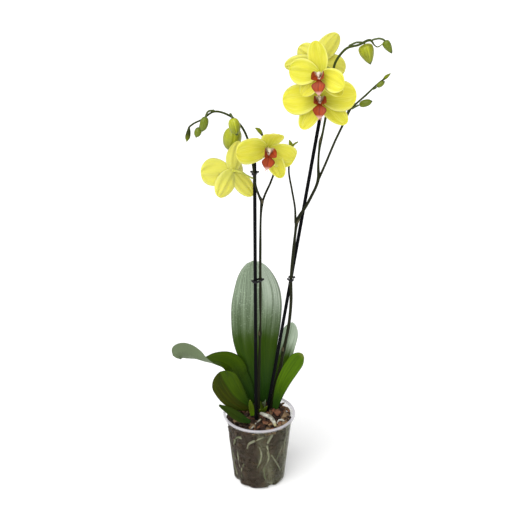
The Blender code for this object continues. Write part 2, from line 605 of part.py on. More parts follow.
def floral_leaf(name, frame, form, base, widest, paint, rows=6, columns=5, cup=0.12):
    """Petal, sepal or lobe that leaves the centre at a turn and bends out of the flower's plane.

    `form` is (turn, length, half width, tilt, curl), `base` is (start radius, start height) and
    `widest` is the share of the length at which it is broadest.
    """
    centre, facing, up, right = frame
    turn, length, half_width, tilt, curl = form
    outward = up * math.cos(math.radians(turn)) + right * math.sin(math.radians(turn))
    point = centre + outward * base[0] + facing * base[1]
    rise = widest / (1.0 - widest) * 0.5
    peak = widest ** rise * (1.0 - widest) ** 0.5
    grid = []
    for row in range(rows + 1):
        place = row / rows
        lean = math.radians(tilt + curl * place)
        along = outward * math.cos(lean) + facing * math.sin(lean)
        face = facing * math.cos(lean) - outward * math.sin(lean)
        across = along.cross(face)
        inside = 0.03 + 0.94 * place
        half = half_width * inside ** rise * (1.0 - inside) ** 0.5 / peak
        line = []
        for column in range(columns):
            side = 2.0 * column / (columns - 1) - 1.0
            line.append(point + across * (side * half) + face * (cup * half * side * side))
        grid.append(line)
        point = point + along * (length / rows)
    return sheet(name, grid, paint, TEPAL_THICKNESS)


def build_flower(name, design):
    frame = flower_frame(design)
    centre, facing, up, right = frame
    seat = centre - facing * RECEPTACLE_BACKSET
    calyx = floral_leaf(name + "_calyx", frame, design["dorsal"], (0.4, -SEPAL_BACKSET), 0.5,
                        "sepal_yellow")
    for side in ("left", "right"):
        helper = floral_leaf(f"{name}_sepal_{side}", frame, design["sepal_" + side],
                             (0.4, -SEPAL_BACKSET), 0.5, "sepal_yellow")
        combine(calyx, helper, "UNION")
        floral_leaf(f"{name}_petal_{side}", frame, design["petal_" + side], (PETAL_START, 0.0), 0.58,
                    "petal_yellow")
    stalk = [(*(centre - facing * RECEPTACLE_FRONT), RECEPTACLE_RADIUS), (*seat, RECEPTACLE_RADIUS),
             (*(seat - facing * 3.0), FLOWER_STALK_RADIUS)]
    stalk += [(*point, FLOWER_STALK_RADIUS) for point in design["stalk"]]
    combine(calyx, tube(name + "_stalk", stalk, "spike_green"), "UNION")
    column = [(*(centre + facing * reach), radius) for reach, radius in COLUMN_FORM]
    tube(name + "_column", column, "column_cream")
    lobes = [floral_leaf(f"{name}_lip" if number == 0 else f"{name}_lobe_{number}", frame, lobe[:5],
                         lobe[5:], 0.6, "lip_orange", rows=5, columns=3 if number else 5)
             for number, lobe in enumerate(LIP_LOBES)]
    for lobe in lobes[1:]:
        combine(lobes[0], lobe, "UNION")


def build_flowers():
    for name, design in FLOWERS.items():
        build_flower(name, design)


def main():
    remove_scene_objects()
    build_pot()
    build_bark()
    build_canes()
    build_chips()
    build_roots()
    ball("crown", CROWN_CENTRE, CROWN_RADII, "crown_green")
    build_leaves()
    build_spikes()
    build_clips()
    build_buds()
    build_flowers()


main()
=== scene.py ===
"""Looks of a potted moth orchid: yellow flowers on two tied spikes, strap leaves, bark, clear pot.

Lengths in the tables are in millimetres and become metres where a mesh is made. +Z is up, the pot
stands on z = 0 and the plant's front looks along -Y.
"""
import math

import bpy
import numpy as np
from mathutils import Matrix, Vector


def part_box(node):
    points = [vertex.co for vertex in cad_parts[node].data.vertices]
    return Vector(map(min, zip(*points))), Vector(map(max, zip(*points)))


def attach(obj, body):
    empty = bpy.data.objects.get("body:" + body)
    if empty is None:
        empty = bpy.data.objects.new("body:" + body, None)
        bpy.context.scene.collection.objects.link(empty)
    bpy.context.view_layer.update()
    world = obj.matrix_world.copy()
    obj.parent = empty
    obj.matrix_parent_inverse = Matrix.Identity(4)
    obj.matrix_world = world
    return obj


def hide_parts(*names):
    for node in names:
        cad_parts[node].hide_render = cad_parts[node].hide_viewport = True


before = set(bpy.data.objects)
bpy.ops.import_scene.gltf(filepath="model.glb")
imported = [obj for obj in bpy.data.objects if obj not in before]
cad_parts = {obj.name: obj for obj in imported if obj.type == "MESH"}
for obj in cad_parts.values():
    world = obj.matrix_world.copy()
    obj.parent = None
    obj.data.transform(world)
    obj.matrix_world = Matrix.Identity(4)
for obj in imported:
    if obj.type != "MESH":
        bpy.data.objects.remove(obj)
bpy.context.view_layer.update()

bl_info = {
    "name": "Potted Moth Orchid",
    "version": (1, 0, 0),
    "blender": (4, 5, 0),
    "location": "3D View > Sidebar > Orchid",
    "description": "Builds the visible pieces of a potted moth orchid over its fixed frame",
    "category": "Add Mesh",
}

MM = 0.001
BODY = "root"

# ---- what the frame gives ------------------------------------------------------------------------

POT_HIGH = np.array(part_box("pot")[1]) / MM
BARK_HIGH = np.array(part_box("bark_bed")[1]) / MM
POT_HEIGHT = float(POT_HIGH[2])
RIM_RADIUS = float(POT_HIGH[0])
BARK_TOP = float(BARK_HIGH[2]) - 1.0
LIP_DEPTH = 4.4

# ---- settings ------------------------------------------------------------------------------------


def length_setting(name, text, value, low=0.0):
    """A length in millimetres that a user may change."""
    return bpy.props.FloatProperty(name=name, description=text, default=value, min=low)


def colour_setting(name, text, value):
    return bpy.props.FloatVectorProperty(name=name, description=text, default=value, subtype="COLOR",
                                         size=3, min=0.0, max=1.0)


def share_setting(name, text, value):
    return bpy.props.FloatProperty(name=name, description=text, default=value, min=0.0, max=1.0,
                                   subtype="FACTOR")


class OrchidPotSettings(bpy.types.PropertyGroup):
    wall: length_setting("Wall", "Thickness of the pot's thin wall, in millimetres", 0.85, 0.3)
    lip_depth: length_setting("Lip depth", "Height of the turned-down lip, in millimetres",
                              LIP_DEPTH, 1.0)
    gusset_height: length_setting("Gusset height", "Height of each drain's recess, in millimetres",
                                  14.0)
    gusset_depth: length_setting("Gusset depth", "Depth of that recess, in millimetres", 3.6)
    plastic: colour_setting("Plastic", "Tint of the clear plastic", (0.22, 0.23, 0.13))
    lip: colour_setting("Lip", "Tint of the thicker lip", (0.58, 0.56, 0.60))
    haze: share_setting("Haze", "How much of the light the clearest wall stops", 0.02)


class OrchidBarkSettings(bpy.types.PropertyGroup):
    top_chips: bpy.props.IntProperty(name="Top chips", description="Loose chips on top of the fill",
                                     default=340, min=0)
    wall_chips: bpy.props.IntProperty(name="Wall chips", description="Chips that show through the wall",
                                      default=620, min=0)
    dark: colour_setting("Dark bark", "Colour of damp bark", (0.022, 0.011, 0.007))
    light: colour_setting("Light bark", "Colour of dry, broken bark", (0.24, 0.155, 0.080))
    red: colour_setting("Red bark", "Colour of freshly split bark", (0.20, 0.080, 0.040))
    root: colour_setting("Root", "Colour of dry root skin", (0.72, 0.71, 0.63))
    root_tip: colour_setting("Root tip", "Colour of growing root tips", (0.42, 0.37, 0.14))


class OrchidLeafSettings(bpy.types.PropertyGroup):
    thickness: length_setting("Thickness", "Leaf thickness at the midrib, in millimetres", 1.7, 0.4)
    green: colour_setting("Green", "Upper side of a young leaf", (0.062, 0.128, 0.003))
    dark: colour_setting("Dark green", "Shaded, older leaf tissue", (0.010, 0.034, 0.004))
    # this colour is a painted sheen: a pale silvery tint that stands in for the leaves' reflection of
    # bright surroundings
    silver: colour_setting("Leaf sheen", "Waxy bloom on old leaves", (0.225, 0.285, 0.20))
    under: colour_setting("Underside", "Underside of a leaf", (0.12, 0.155, 0.085))
    olive: colour_setting("Olive", "Sun-tanned leaf tissue", (0.033, 0.031, 0.002))
    tan: colour_setting("Dry tissue", "Colour of a dried leaf tip or old sheath", (0.30, 0.23, 0.08))


class OrchidStemSettings(bpy.types.PropertyGroup):
    stem: colour_setting("Stem", "Colour of the spikes low down", (0.012, 0.013, 0.005))
    young: colour_setting("Young stem", "Colour of the spikes near their tips", (0.045, 0.062, 0.011))
    bract: colour_setting("Bract", "Colour of the dry scales at the joints", (0.10, 0.085, 0.045))
    cane: colour_setting("Cane", "Colour of the canes", (0.004, 0.004, 0.005))
    clip: colour_setting("Clip", "Colour of the clips", (0.008, 0.008, 0.009))
    bud: colour_setting("Bud", "Colour of a bud near its stalk", (0.40, 0.43, 0.025))
    bud_dark: colour_setting("Bud shade", "Colour of a bud's darker flanks", (0.15, 0.18, 0.008))


class OrchidFlowerSettings(bpy.types.PropertyGroup):
    thickness: length_setting("Thickness", "Petal thickness near its middle, in millimetres", 0.9, 0.2)
    petal: colour_setting("Petal", "Main colour of the petals", (0.66, 0.61, 0.038))
    petal_edge: colour_setting("Petal edge", "Colour of petal edges and veins", (0.79, 0.765, 0.19))
    throat: colour_setting("Throat", "Greener colour near a flower's centre", (0.42, 0.44, 0.014))
    lip: colour_setting("Lip", "Main colour of the lip", (0.36, 0.048, 0.006))
    lip_dark: colour_setting("Lip stripes", "Darker stripes and edges of the lip", (0.15, 0.008, 0.004))
    lip_pale: colour_setting("Lip tip", "Pale tip of the lip", (0.70, 0.42, 0.36))
    column: colour_setting("Column", "Colour of the column", (0.66, 0.58, 0.44))


class OrchidStageSettings(bpy.types.PropertyGroup):
    floor: colour_setting("Floor", "Colour of the floor", (0.90, 0.90, 0.90))
    glow: share_setting("Floor glow", "Light that the floor gives off by itself", 0.24)
    sky: bpy.props.FloatProperty(name="Sky", description="Strength of the even studio light",
                                 default=0.42, min=0.0)
    key: bpy.props.FloatProperty(name="Key light", description="Strength of the wide front light",
                                 default=3.1, min=0.0)
    softness: bpy.props.FloatProperty(name="Softness", description="How wide the front light looks",
                                      default=math.radians(66.0), min=0.0, max=math.pi, subtype="ANGLE")
    lens: bpy.props.FloatProperty(name="Lens", description="Focal length of the camera, in millimetres",
                                  default=61.83, min=10.0)
    pitch: bpy.props.FloatProperty(name="Look down", description="How far the camera looks down",
                                   default=math.radians(22.28), subtype="ANGLE")
    place: bpy.props.FloatVectorProperty(name="Camera place", description="Where the camera stands",
                                         default=(0.005, -1.294, 0.925), subtype="TRANSLATION", size=3)


# ---- shader expressions --------------------------------------------------------------------------


class Value:
    """A number that varies over a surface. Arithmetic on it adds Math nodes to its paint."""

    def __init__(self, paint, socket):
        self.paint = paint
        self.socket = socket

    def reckon(self, operation, first, second):
        step = self.paint.node("ShaderNodeMath", {"operation": operation}, {0: first, 1: second})
        return Value(self.paint, step.outputs[0])

    def __add__(self, other):
        return self.reckon("ADD", self, other)

    def __sub__(self, other):
        return self.reckon("SUBTRACT", self, other)

    def __rsub__(self, other):
        return self.reckon("SUBTRACT", other, self)

    def __mul__(self, other):
        return self.reckon("MULTIPLY", self, other)

    def __abs__(self):
        return self.reckon("ABSOLUTE", self, 0.0)

    def within(self, low, high):
        """0 below `low`, 1 above `high`, and an eased slope between."""
        step = self.paint.node("ShaderNodeMapRange", {"interpolation_type": "SMOOTHSTEP"},
                               {"Value": self, "From Min": low, "From Max": high})
        return Value(self.paint, step.outputs[0])

    __radd__ = __add__
    __rmul__ = __mul__


class Paint:
    """A Principled material whose varying sockets are fed by expressions."""

    def __init__(self, name, constants):
        self.material = bpy.data.materials.new(name)
        self.material.use_nodes = True
        self.tree = self.material.node_tree
        self.shader = self.tree.nodes["Principled BSDF"]
        for socket, value in constants.items():
            self.shader.inputs[socket].default_value = value

    def feed(self, socket, value):
        if isinstance(value, Value):
            value = value.socket
        if isinstance(value, bpy.types.NodeSocket):
            self.tree.links.new(value, socket)
        else:
            socket.default_value = value

    def node(self, kind, settings=None, inputs=None):
        """Add a node, with its settings first and then its sockets' values or links."""
        made = self.tree.nodes.new(kind)
        for key, value in (settings or {}).items():
            setattr(made, key, value)
        for key, value in (inputs or {}).items():
            self.feed(made.inputs[key], value)
        return made

    def place(self, source="Object", stretch=(1.0, 1.0, 1.0)):
        spot = self.node("ShaderNodeTexCoord").outputs[source]
        return self.node("ShaderNodeMapping", None, {"Vector": spot, "Scale": stretch}).outputs[0]

    def noise(self, scale, detail=3.0, source="Object", stretch=(1.0, 1.0, 1.0)):
        texture = self.node("ShaderNodeTexNoise", None,
                            {"Vector": self.place(source, stretch), "Scale": scale, "Detail": detail})
        return Value(self, texture.outputs[0])

    def streaks(self, across, along, detail=3.0):
        """Noise that repeats so many times over the surface's width and length."""
        return self.noise(1.0, detail, "UV", (across, along, 1.0))

    def across_and_along(self):
        """The surface's own two coordinates, each from 0 to 1."""
        split = self.node("ShaderNodeSeparateXYZ", None, {0: self.place("UV")})
        return Value(self, split.outputs[0]), Value(self, split.outputs[1])

    def height(self):
        split = self.node("ShaderNodeSeparateXYZ", None, {0: self.place()})
        return Value(self, split.outputs[2])

    def marked(self, name):
        return Value(self, self.node("ShaderNodeAttribute", {"attribute_name": name}).outputs["Fac"])

    def facing(self, blend):
        return Value(self, self.node("ShaderNodeLayerWeight", None, {"Blend": blend}).outputs["Facing"])

    def mix(self, share, first, second):
        """Colour that goes from `first` to `second` as `share` goes from 0 to 1."""
        step = self.node("ShaderNodeMix", {"data_type": "RGBA"}, {0: share, 6: first, 7: second})
        return step.outputs[2]

    def finish(self, colour, roughness=None, relief=None, strength=0.3, depth=0.0006, others=None):
        self.feed(self.shader.inputs["Base Color"], colour)
        if roughness is not None:
            self.feed(self.shader.inputs["Roughness"], roughness)
        if relief is not None:
            bump = self.node("ShaderNodeBump", None,
                             {"Height": relief, "Strength": strength, "Distance": depth})
            self.feed(self.shader.inputs["Normal"], bump.outputs[0])
        for socket, value in (others or {}).items():
            self.feed(self.shader.inputs[socket], value)
        return self.material


def solid(colour, factor=1.0):
    """A socket colour with alpha from a setting's three numbers, darkened or lightened."""
    return (*(min(part * factor, 1.0) for part in colour), 1.0)


# ---- surfaces ------------------------------------------------------------------------------------


def full_turn(count):
    """Even angles once round, in radians."""
    return np.linspace(0.0, 2 * np.pi, count, endpoint=False)


def clipped(value):
    """The value kept between 0 and 1."""
    return np.clip(value, 0.0, 1.0)


def around_axis(radius, turn, height):
    """Places at a distance from the axis, an angle and a height, stretched to one shape."""
    return np.stack(np.broadcast_arrays(radius * np.cos(turn), radius * np.sin(turn), height), axis=-1)


def path_steps(rows):
    """Distance from each row, whose first three columns are a place, to the next."""
    return np.linalg.norm(np.diff(np.asarray(rows, float)[:, :3], axis=0), axis=1)


def stretch_rows(rows, count):
    """`count` rows evenly spaced by length through rows whose first three columns are a place.

    Each stretch is a cubic that passes through its two rows with the slopes that the rows around them
    give, measured along the path, so close rows don't throw the curve out.
    """
    rows = np.asarray(rows, float)
    lengths = np.concatenate([[0.0], np.cumsum(path_steps(rows))])
    slope = np.gradient(rows, lengths, axis=0, edge_order=1)
    place = np.linspace(0.0, lengths[-1], count)
    index = np.clip(np.searchsorted(lengths, place, side="right") - 1, 0, len(rows) - 2)
    span = (lengths[index + 1] - lengths[index])[:, None]
    part = (place - lengths[index])[:, None] / span
    square = part ** 2
    cube = part ** 3
    return (rows[index] * (2 * cube - 3 * square + 1) + slope[index] * span * (cube - 2 * square + part)
            + rows[index + 1] * (3 * square - 2 * cube) + slope[index + 1] * span * (cube - square))


def unit(vectors):
    return vectors / np.linalg.norm(vectors, axis=-1, keepdims=True)


def loft(rings, across=None, along=None, marks=None, looped=False):
    """Closed body over `rings` of points, shaped (rows, around, 3) or (bodies, rows, around, 3).

    Neighbouring rings are joined by four-sided faces. A body is closed by a fan to the mean point of
    its first and of its last ring, or, when looped, by joining the last ring to the first. Faces point
    outwards where a ring runs anticlockwise as seen from the next one. `across` gives the UV value of
    each column and one more for the seam, `along` that of each row, and `marks` point values.
    """
    if rings.ndim == 3:
        rings = rings[None]
    bodies, rows, around = rings.shape[:3]
    across = np.linspace(0.0, 1.0, around + 1) if across is None else across
    along = np.linspace(0.0, 1.0, rows + looped) if along is None else along
    row, column = np.meshgrid(np.arange(rows - 1 + looped), np.arange(around), indexing="ij")
    row = row.ravel()
    column = column.ravel()
    after = (column + 1) % around
    ahead = (row + 1) % rows
    quads = np.stack([row * around + column, row * around + after,
                      ahead * around + after, ahead * around + column], axis=1)
    quad_uv = np.stack([across[[column, column + 1, column + 1, column]].T,
                        along[[row, row, row + 1, row + 1]].T], axis=2)
    ring_size = rows * around
    fans = np.zeros((0, 3), int)
    fan_uv = np.zeros((0, 3, 2))
    points = rings.reshape(bodies, ring_size, 3)
    if not looped:
        points = np.concatenate([points, rings[:, [0, -1]].mean(axis=2)], axis=1)
        edge = np.arange(around)
        turn = (edge + 1) % around
        last = (rows - 1) * around
        pole = np.full(around, ring_size)
        fans = np.concatenate([np.stack([turn, edge, pole], axis=1),
                               np.stack([last + edge, last + turn, pole + 1], axis=1)])
        middle = (across[:-1] + across[1:]) / 2
        first = np.stack([across[1:], across[:-1], middle], axis=1)
        final = np.stack([across[:-1], across[1:], middle], axis=1)
        fan_uv = np.concatenate([np.stack([first, np.full_like(first, along[0])], axis=2),
                                 np.stack([final, np.full_like(final, along[-1])], axis=2)])
    size = points.shape[1]
    offset = (np.arange(bodies) * size)[:, None, None]
    marks = {name: spread_mark(value, bodies, rows, around, looped)
             for name, value in (marks or {}).items()}
    return {
        "points": points.reshape(-1, 3),
        "quads": (quads[None] + offset).reshape(-1, 4),
        "fans": (fans[None] + offset).reshape(-1, 3),
        "quad_uv": np.tile(quad_uv.reshape(-1, 2), (bodies, 1)),
        "fan_uv": np.tile(fan_uv.reshape(-1, 2), (bodies, 1)),
        "marks": marks,
    }


def spread_mark(value, bodies, rows, around, looped):
    """One number for every point of a loft from a value shaped like, or stretched over, its rings."""
    full = np.broadcast_to(np.asarray(value, float), (bodies, rows, around))
    flat = full.reshape(bodies, -1)
    if not looped:
        flat = np.concatenate([flat, full[:, [0, -1]].mean(axis=2)], axis=1)
    return flat.ravel()


def make_piece(name, lofts, material, nodes=()):
    """One mesh object from one or more lofts in millimetres, riding on the plant's only body."""
    starts = np.cumsum([0] + [len(part["points"]) for part in lofts])
    points = np.concatenate([part["points"] for part in lofts]) * MM
    quads = np.concatenate([part["quads"] + start for part, start in zip(lofts, starts)])
    fans = np.concatenate([part["fans"] + start for part, start in zip(lofts, starts)])
    mesh = bpy.data.meshes.new(name)
    mesh.vertices.add(len(points))
    mesh.vertices.foreach_set("co", points.ravel())
    corners = np.concatenate([quads.ravel(), fans.ravel()])
    sizes = np.concatenate([np.full(len(quads), 4), np.full(len(fans), 3)])
    mesh.loops.add(len(corners))
    mesh.loops.foreach_set("vertex_index", corners)
    mesh.polygons.add(len(sizes))
    mesh.polygons.foreach_set("loop_start", np.concatenate([[0], np.cumsum(sizes)[:-1]]))
    mesh.polygons.foreach_set("loop_total", sizes)
    mesh.update(calc_edges=True)
    mesh.polygons.foreach_set("use_smooth", np.ones(len(sizes), bool))
    layer = mesh.uv_layers.new(name="surface")
    layer.data.foreach_set("uv", np.concatenate([part["quad_uv"] for part in lofts]
                                                + [part["fan_uv"] for part in lofts]).ravel())
    for mark in lofts[0]["marks"]:
        values = np.concatenate([part["marks"][mark] for part in lofts])
        mesh.attributes.new(mark, "FLOAT", "POINT").data.foreach_set("value", values)
    mesh.materials.append(material)
    item = bpy.data.objects.new(name, mesh)
    bpy.context.scene.collection.objects.link(item)
    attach(item, BODY)
    if nodes:
        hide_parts(*nodes)
    return item


def carry(points, radii, reference=(0.0, 1.0, 0.0), around=16, relief=1.0):
    """Rings of a round rod: circles of the given radii square to the path through `points`.

    `relief` multiplies the radius and may vary over rows and columns. The `reference` direction, which
    the path must not run along, keeps the circles from twisting.
    """
    forward = unit(np.gradient(points, axis=0))
    side = unit(np.cross(forward, np.asarray(reference)))
    face = np.cross(forward, side)
    turn = full_turn(around)[None, :, None]
    circle = np.cos(turn) * side[:, None] + np.sin(turn) * face[:, None]
    size = np.asarray(radii)[:, None] * np.broadcast_to(relief, (len(points), around))
    return points[:, None] + circle * size[:, :, None]


DOME_ROWS = 4
DOME_REACH = 0.9


def rounded(rows):
    """Rows of (x, y, z, radius) with a dome of quarter-ellipse rows added past each end."""
    turn = np.linspace(0.0, np.pi / 2, DOME_ROWS + 1)[1:]
    parts = [rows]
    for edge, inner, ahead in ((rows[0], rows[1], True), (rows[-1], rows[-2], False)):
        outward = unit(edge[:3] - inner[:3])
        dome = np.empty((DOME_ROWS, 4))
        dome[:, :3] = edge[:3] + outward * (np.sin(turn) * edge[3] * DOME_REACH)[:, None]
        dome[:, 3] = edge[3] * np.maximum(np.cos(turn), 0.02)
        parts = [dome[::-1]] + parts if ahead else parts + [dome]
    return np.concatenate(parts)


def rod(stations, step=1.5, around=16, reference=(0.0, 1.0, 0.0), relief=None, marks=None):
    """Loft of a domed rod through (x, y, z, radius) stations, sampled every `step` millimetres.

    `relief` and any mark that is a function take the share of the length, and relief the angle too.
    """
    rows = rounded(stretch_rows(stations, max(int(path_steps(stations).sum() / step), 5)))
    v = np.linspace(0.0, 1.0, len(rows))[:, None]
    shape = 1.0 if relief is None else relief(v, full_turn(around)[None, :])
    rings = carry(rows[:, :3], rows[:, 3], reference, around, shape)
    named = {name: value(v) if callable(value) else value for name, value in (marks or {}).items()}
    return loft(rings, marks=named)


def blade(spine, half, facing, thickness, lift, columns=25, marks=None):
    """Loft of a thin leaf: lens-shaped sections square to its spine.

    At `w`, from -1 at one edge to 1 at the other, a section lies `half * w` across, is raised by
    lift(w, v) along its facing, `v` running from 0 at the foot to 1 at the tip, and is
    `thickness * sqrt(1 - w * w)` thick. The mark "upper" is 1 on the side that the facing points to.
    """
    rows = len(spine)
    forward = unit(np.gradient(spine, axis=0))
    face = unit(facing - forward * np.sum(facing * forward, axis=1, keepdims=True))
    side = np.cross(face, forward)
    over = np.linspace(1.0, -1.0, columns)
    w = np.concatenate([over, -over[1:-1]])
    upper = np.concatenate([np.ones(columns), np.zeros(columns - 2)])
    upper[[0, columns - 1]] = 0.5
    v = np.linspace(0.0, 1.0, rows)[:, None]
    shell = np.sqrt(np.maximum(1.0 - w ** 2, 0.0)) * np.where(upper > 0.5, 0.5, -0.5)
    width = half[:, None]
    body = np.minimum(1.0, width / max(float(half.max()) * 0.25, 0.001))
    rise = lift(w[None, :], v, width) + shell[None, :] * thickness * (0.35 + 0.65 * body)
    rings = spine[:, None] + side[:, None] * (w[None, :, None] * half[:, None, None])
    rings = rings + face[:, None] * rise[:, :, None]
    across = (np.append(w, w[0]) + 1.0) / 2.0
    return loft(rings, across, v.ravel(), {"upper": upper[None, :], **(marks or {})})


# ---- pot -----------------------------------------------------------------------------------------

BODY_TOP_RADIUS = 56.0
BASE_RADIUS = 44.0
BASE_CORNER = 5.0
LIP_FLARE = 0.9
# angle of the side of the pot's wall that gets painted light: more haze, so it looks lighter
PAINTED_LIGHT_ANGLE = 75.0
WALL_FOOT = 7.0
DRAIN_COUNT = 4
DRAIN_FIRST_ANGLE = -60.0
DRAIN_LIFT = 2.0
DRAIN_HEIGHT = 3.0
GUSSET_START = 31.0
GUSSET_EASE = 8.0


def wall_radius(height, wall=0.0):
    """Radius of the pot's straight wall at a height, less `wall` for its inside."""
    share = (height - BASE_CORNER) / (POT_HEIGHT - LIP_DEPTH - BASE_CORNER)
    return BASE_RADIUS + (BODY_TOP_RADIUS - BASE_RADIUS) * share - wall


def arc(centre, radius, start, end, steps):
    """Points of a circle's arc between two angles in degrees, as (distance, height) rows."""
    turn = np.radians(np.linspace(start, end, steps))
    return np.stack([centre[0] + radius * np.cos(turn), centre[1] + radius * np.sin(turn)], axis=1)


def line(start, end, steps):
    """Evenly spaced points between two points, the last one left out."""
    return np.linspace(start, end, steps, endpoint=False)


def pot_outline(settings):
    """Outline of the pot from its inner floor's middle over the lip to its underside's middle."""
    wall = settings.wall
    foot = POT_HEIGHT - settings.lip_depth
    bend = (BASE_RADIUS - BASE_CORNER, BASE_CORNER)
    mouth = wall_radius(foot, wall) + LIP_FLARE
    shoulder = (wall_radius(foot - 1.0, wall), foot - 1.0)
    return np.concatenate([
        line((0.3, wall), (bend[0], wall), 8),
        arc(bend, BASE_CORNER - wall, -90.0, -3.0, 9),
        line((wall_radius(WALL_FOOT, wall), WALL_FOOT), shoulder, 40),
        line(shoulder, (mouth, POT_HEIGHT - 0.7), 4),
        arc((mouth + 0.7, POT_HEIGHT - 0.7), 0.7, 180.0, 90.0, 4),
        arc((RIM_RADIUS - 1.1, POT_HEIGHT - 1.1), 1.1, 90.0, 0.0, 5),
        arc((RIM_RADIUS - 0.5, foot + 0.5), 0.5, 0.0, -90.0, 4),
        line((RIM_RADIUS - 1.2, foot + 0.3), (BODY_TOP_RADIUS + 0.5, foot + 0.3), 4),
        arc((BODY_TOP_RADIUS + 0.6, foot - 0.6), 0.6, 110.0, 180.0, 4),
        line((wall_radius(foot - 2.0), foot - 2.0), (wall_radius(WALL_FOOT), WALL_FOOT), 40),
        arc(bend, BASE_CORNER, -3.0, -90.0, 9),
        line((bend[0], 0.0), (0.3, 0.0), 8),
        [[0.3, 0.0]]])


def gusset_share(turn, height, settings):
    """How far, from 0 to 1, the wall is pressed in at an angle and height: a recess over each drain.

    Its half width is 0.13 radians at the foot and 0.24 more at its top, its flanks are 0.06 wide, and
    it fades over the upper part of its height.
    """
    period = 2 * np.pi / DRAIN_COUNT
    away = np.abs((turn - math.radians(DRAIN_FIRST_ANGLE) + period / 2) % period - period / 2)
    rise = clipped(height / settings.gusset_height)
    return clipped((0.13 + 0.24 * rise - away) / 0.06) * clipped((1.0 - rise) * 3.5)


def plastic_paint(name, settings):
    """Clear plastic: scuffed, with pale vertical streaks that are painted highlight, hazier where it is
    pressed or seen edge on and, as painted light, hazier and lighter on the plant's right, with a
    milky lip that is densest at its top.
    """
    paint = Paint(name, {"IOR": 1.45, "Coat Weight": 0.1, "Coat Roughness": 0.12})
    high = paint.height()
    lip, top = (high.within((POT_HEIGHT - low) * MM, (POT_HEIGHT - near) * MM)
                for low, near in ((LIP_DEPTH, 2.8), (2.2, 0.9)))
    scuff = paint.noise(38.0, 4.0).within(0.42, 0.75)
    # painted highlight: pale vertical streaks that stand in for reflections on the wall, in its colour
    # and its haze
    streak = paint.noise(60.0, 3.0, stretch=(1.0, 1.0, 0.12)).within(0.45, 0.8)
    body = paint.mix(streak, solid(settings.plastic, 0.6), solid(settings.plastic, 1.9))
    colour = paint.mix(lip, body, solid(settings.lip))
    haze = settings.haze + 0.07 * streak + 0.06 * scuff
    haze = haze + 0.12 * paint.facing(0.42) + 0.16 * paint.marked("press")
    # painted light: the haze grows toward the plant's right, so that side of the wall looks lighter
    alpha = (haze * (0.35 + 1.3 * paint.marked("dust_and_painted_light"))) * (1.0 - lip) + (0.38 + 0.36 * top) * lip
    return paint.finish(colour, 0.16 + 0.22 * scuff, paint.noise(90.0, 2.0), 0.12, 0.0005,
                        {"Alpha": alpha})


def build_pot(settings):
    """Turn the outline about the axis and press a gusset in over each drain, open at its foot."""
    turn = -full_turn(192)[None, :]
    distance, height = np.hsplit(pot_outline(settings), 2)
    press = gusset_share(turn, height, settings) * clipped((distance - GUSSET_START) / GUSSET_EASE)
    radius = distance - settings.gusset_depth * press
    rings = around_axis(radius, turn, height + DRAIN_LIFT * press * (height < DRAIN_HEIGHT))
    # painted light: a mark that is 1 on the plant's right and 0 on its left, used to make that side
    # hazier and lighter
    dust_and_painted_light = 0.5 + 0.5 * np.sin(turn + math.radians(PAINTED_LIGHT_ANGLE))
    make_piece("clear_pot", [loft(rings, marks={"press": press, "dust_and_painted_light": dust_and_painted_light})],
               plastic_paint("clear_plastic", settings), ["pot"])


# ---- bark and roots ------------------------------------------------------------------------------

CHIP_GRID = (6, 8)
CHIP_REACH = 52.5
CORE_INSET = 2.6
HEAP_HEIGHT = 4.5
HEAP_START = 36.0
HEAP_WIDTH = 14.0


def chip_paint(name, settings, gloss):
    """Layered bark: dark plates with paler broken edges, some tan and some red."""
    paint = Paint(name, {"Specular IOR Level": gloss})
    grain = paint.noise(170.0, 5.0)
    layer = paint.noise(240.0, 3.0, stretch=(0.3, 1.0, 2.6))
    flake = paint.noise(620.0, 3.0)
    share = paint.marked("tone") * 1.1 + 0.45 * grain - 0.24
    split = paint.mix(paint.marked("hue").within(0.45, 0.6), solid(settings.light), solid(settings.red))
    colour = paint.mix(share.within(0.05, 1.1), solid(settings.dark), split)
    colour = paint.mix(layer.within(0.5, 0.66) * 0.55, colour, solid(settings.dark))
    colour = paint.mix(flake.within(0.58, 0.78) * 0.3, colour, solid(settings.light, 1.5))
    relief = grain * 0.5 + 0.3 * layer + 0.2 * flake
    return paint.finish(colour, 0.62 + 0.25 * grain, relief, 0.9, 0.002)


def blunt(value, power=0.3):
    return np.sign(value) * np.abs(value) ** power


def chip_points(centres, sizes, turns, seed):
    """Chips as rounded, uneven blocks: a superellipsoid whose points are pushed in and out a little.

    `turns` are rotations about X, Y and Z in radians, applied in that order.
    """
    rows, around = CHIP_GRID
    draw = np.random.default_rng(seed)
    lean = np.linspace(-np.pi / 2 * 0.94, np.pi / 2 * 0.94, rows)[:, None]
    turn = full_turn(around)[None, :]
    level = np.broadcast_to(blunt(np.sin(lean)), (rows, around))
    shape = np.stack([blunt(np.cos(lean)) * blunt(np.cos(turn)),
                      blunt(np.cos(lean)) * blunt(np.sin(turn)), level], axis=2)
    points = shape[None] * (1.0 + draw.uniform(-0.34, 0.16, (len(centres), rows, around, 1)))
    points = points * np.asarray(sizes)[:, None, None] * 0.5
    for axis, (first, second) in enumerate(((1, 2), (2, 0), (0, 1))):
        angle = np.asarray(turns)[:, axis, None, None]
        one = points[..., first] * np.cos(angle) - points[..., second] * np.sin(angle)
        two = points[..., first] * np.sin(angle) + points[..., second] * np.cos(angle)
        points[..., first] = one
        points[..., second] = two
    return points + np.asarray(centres)[:, None, None]


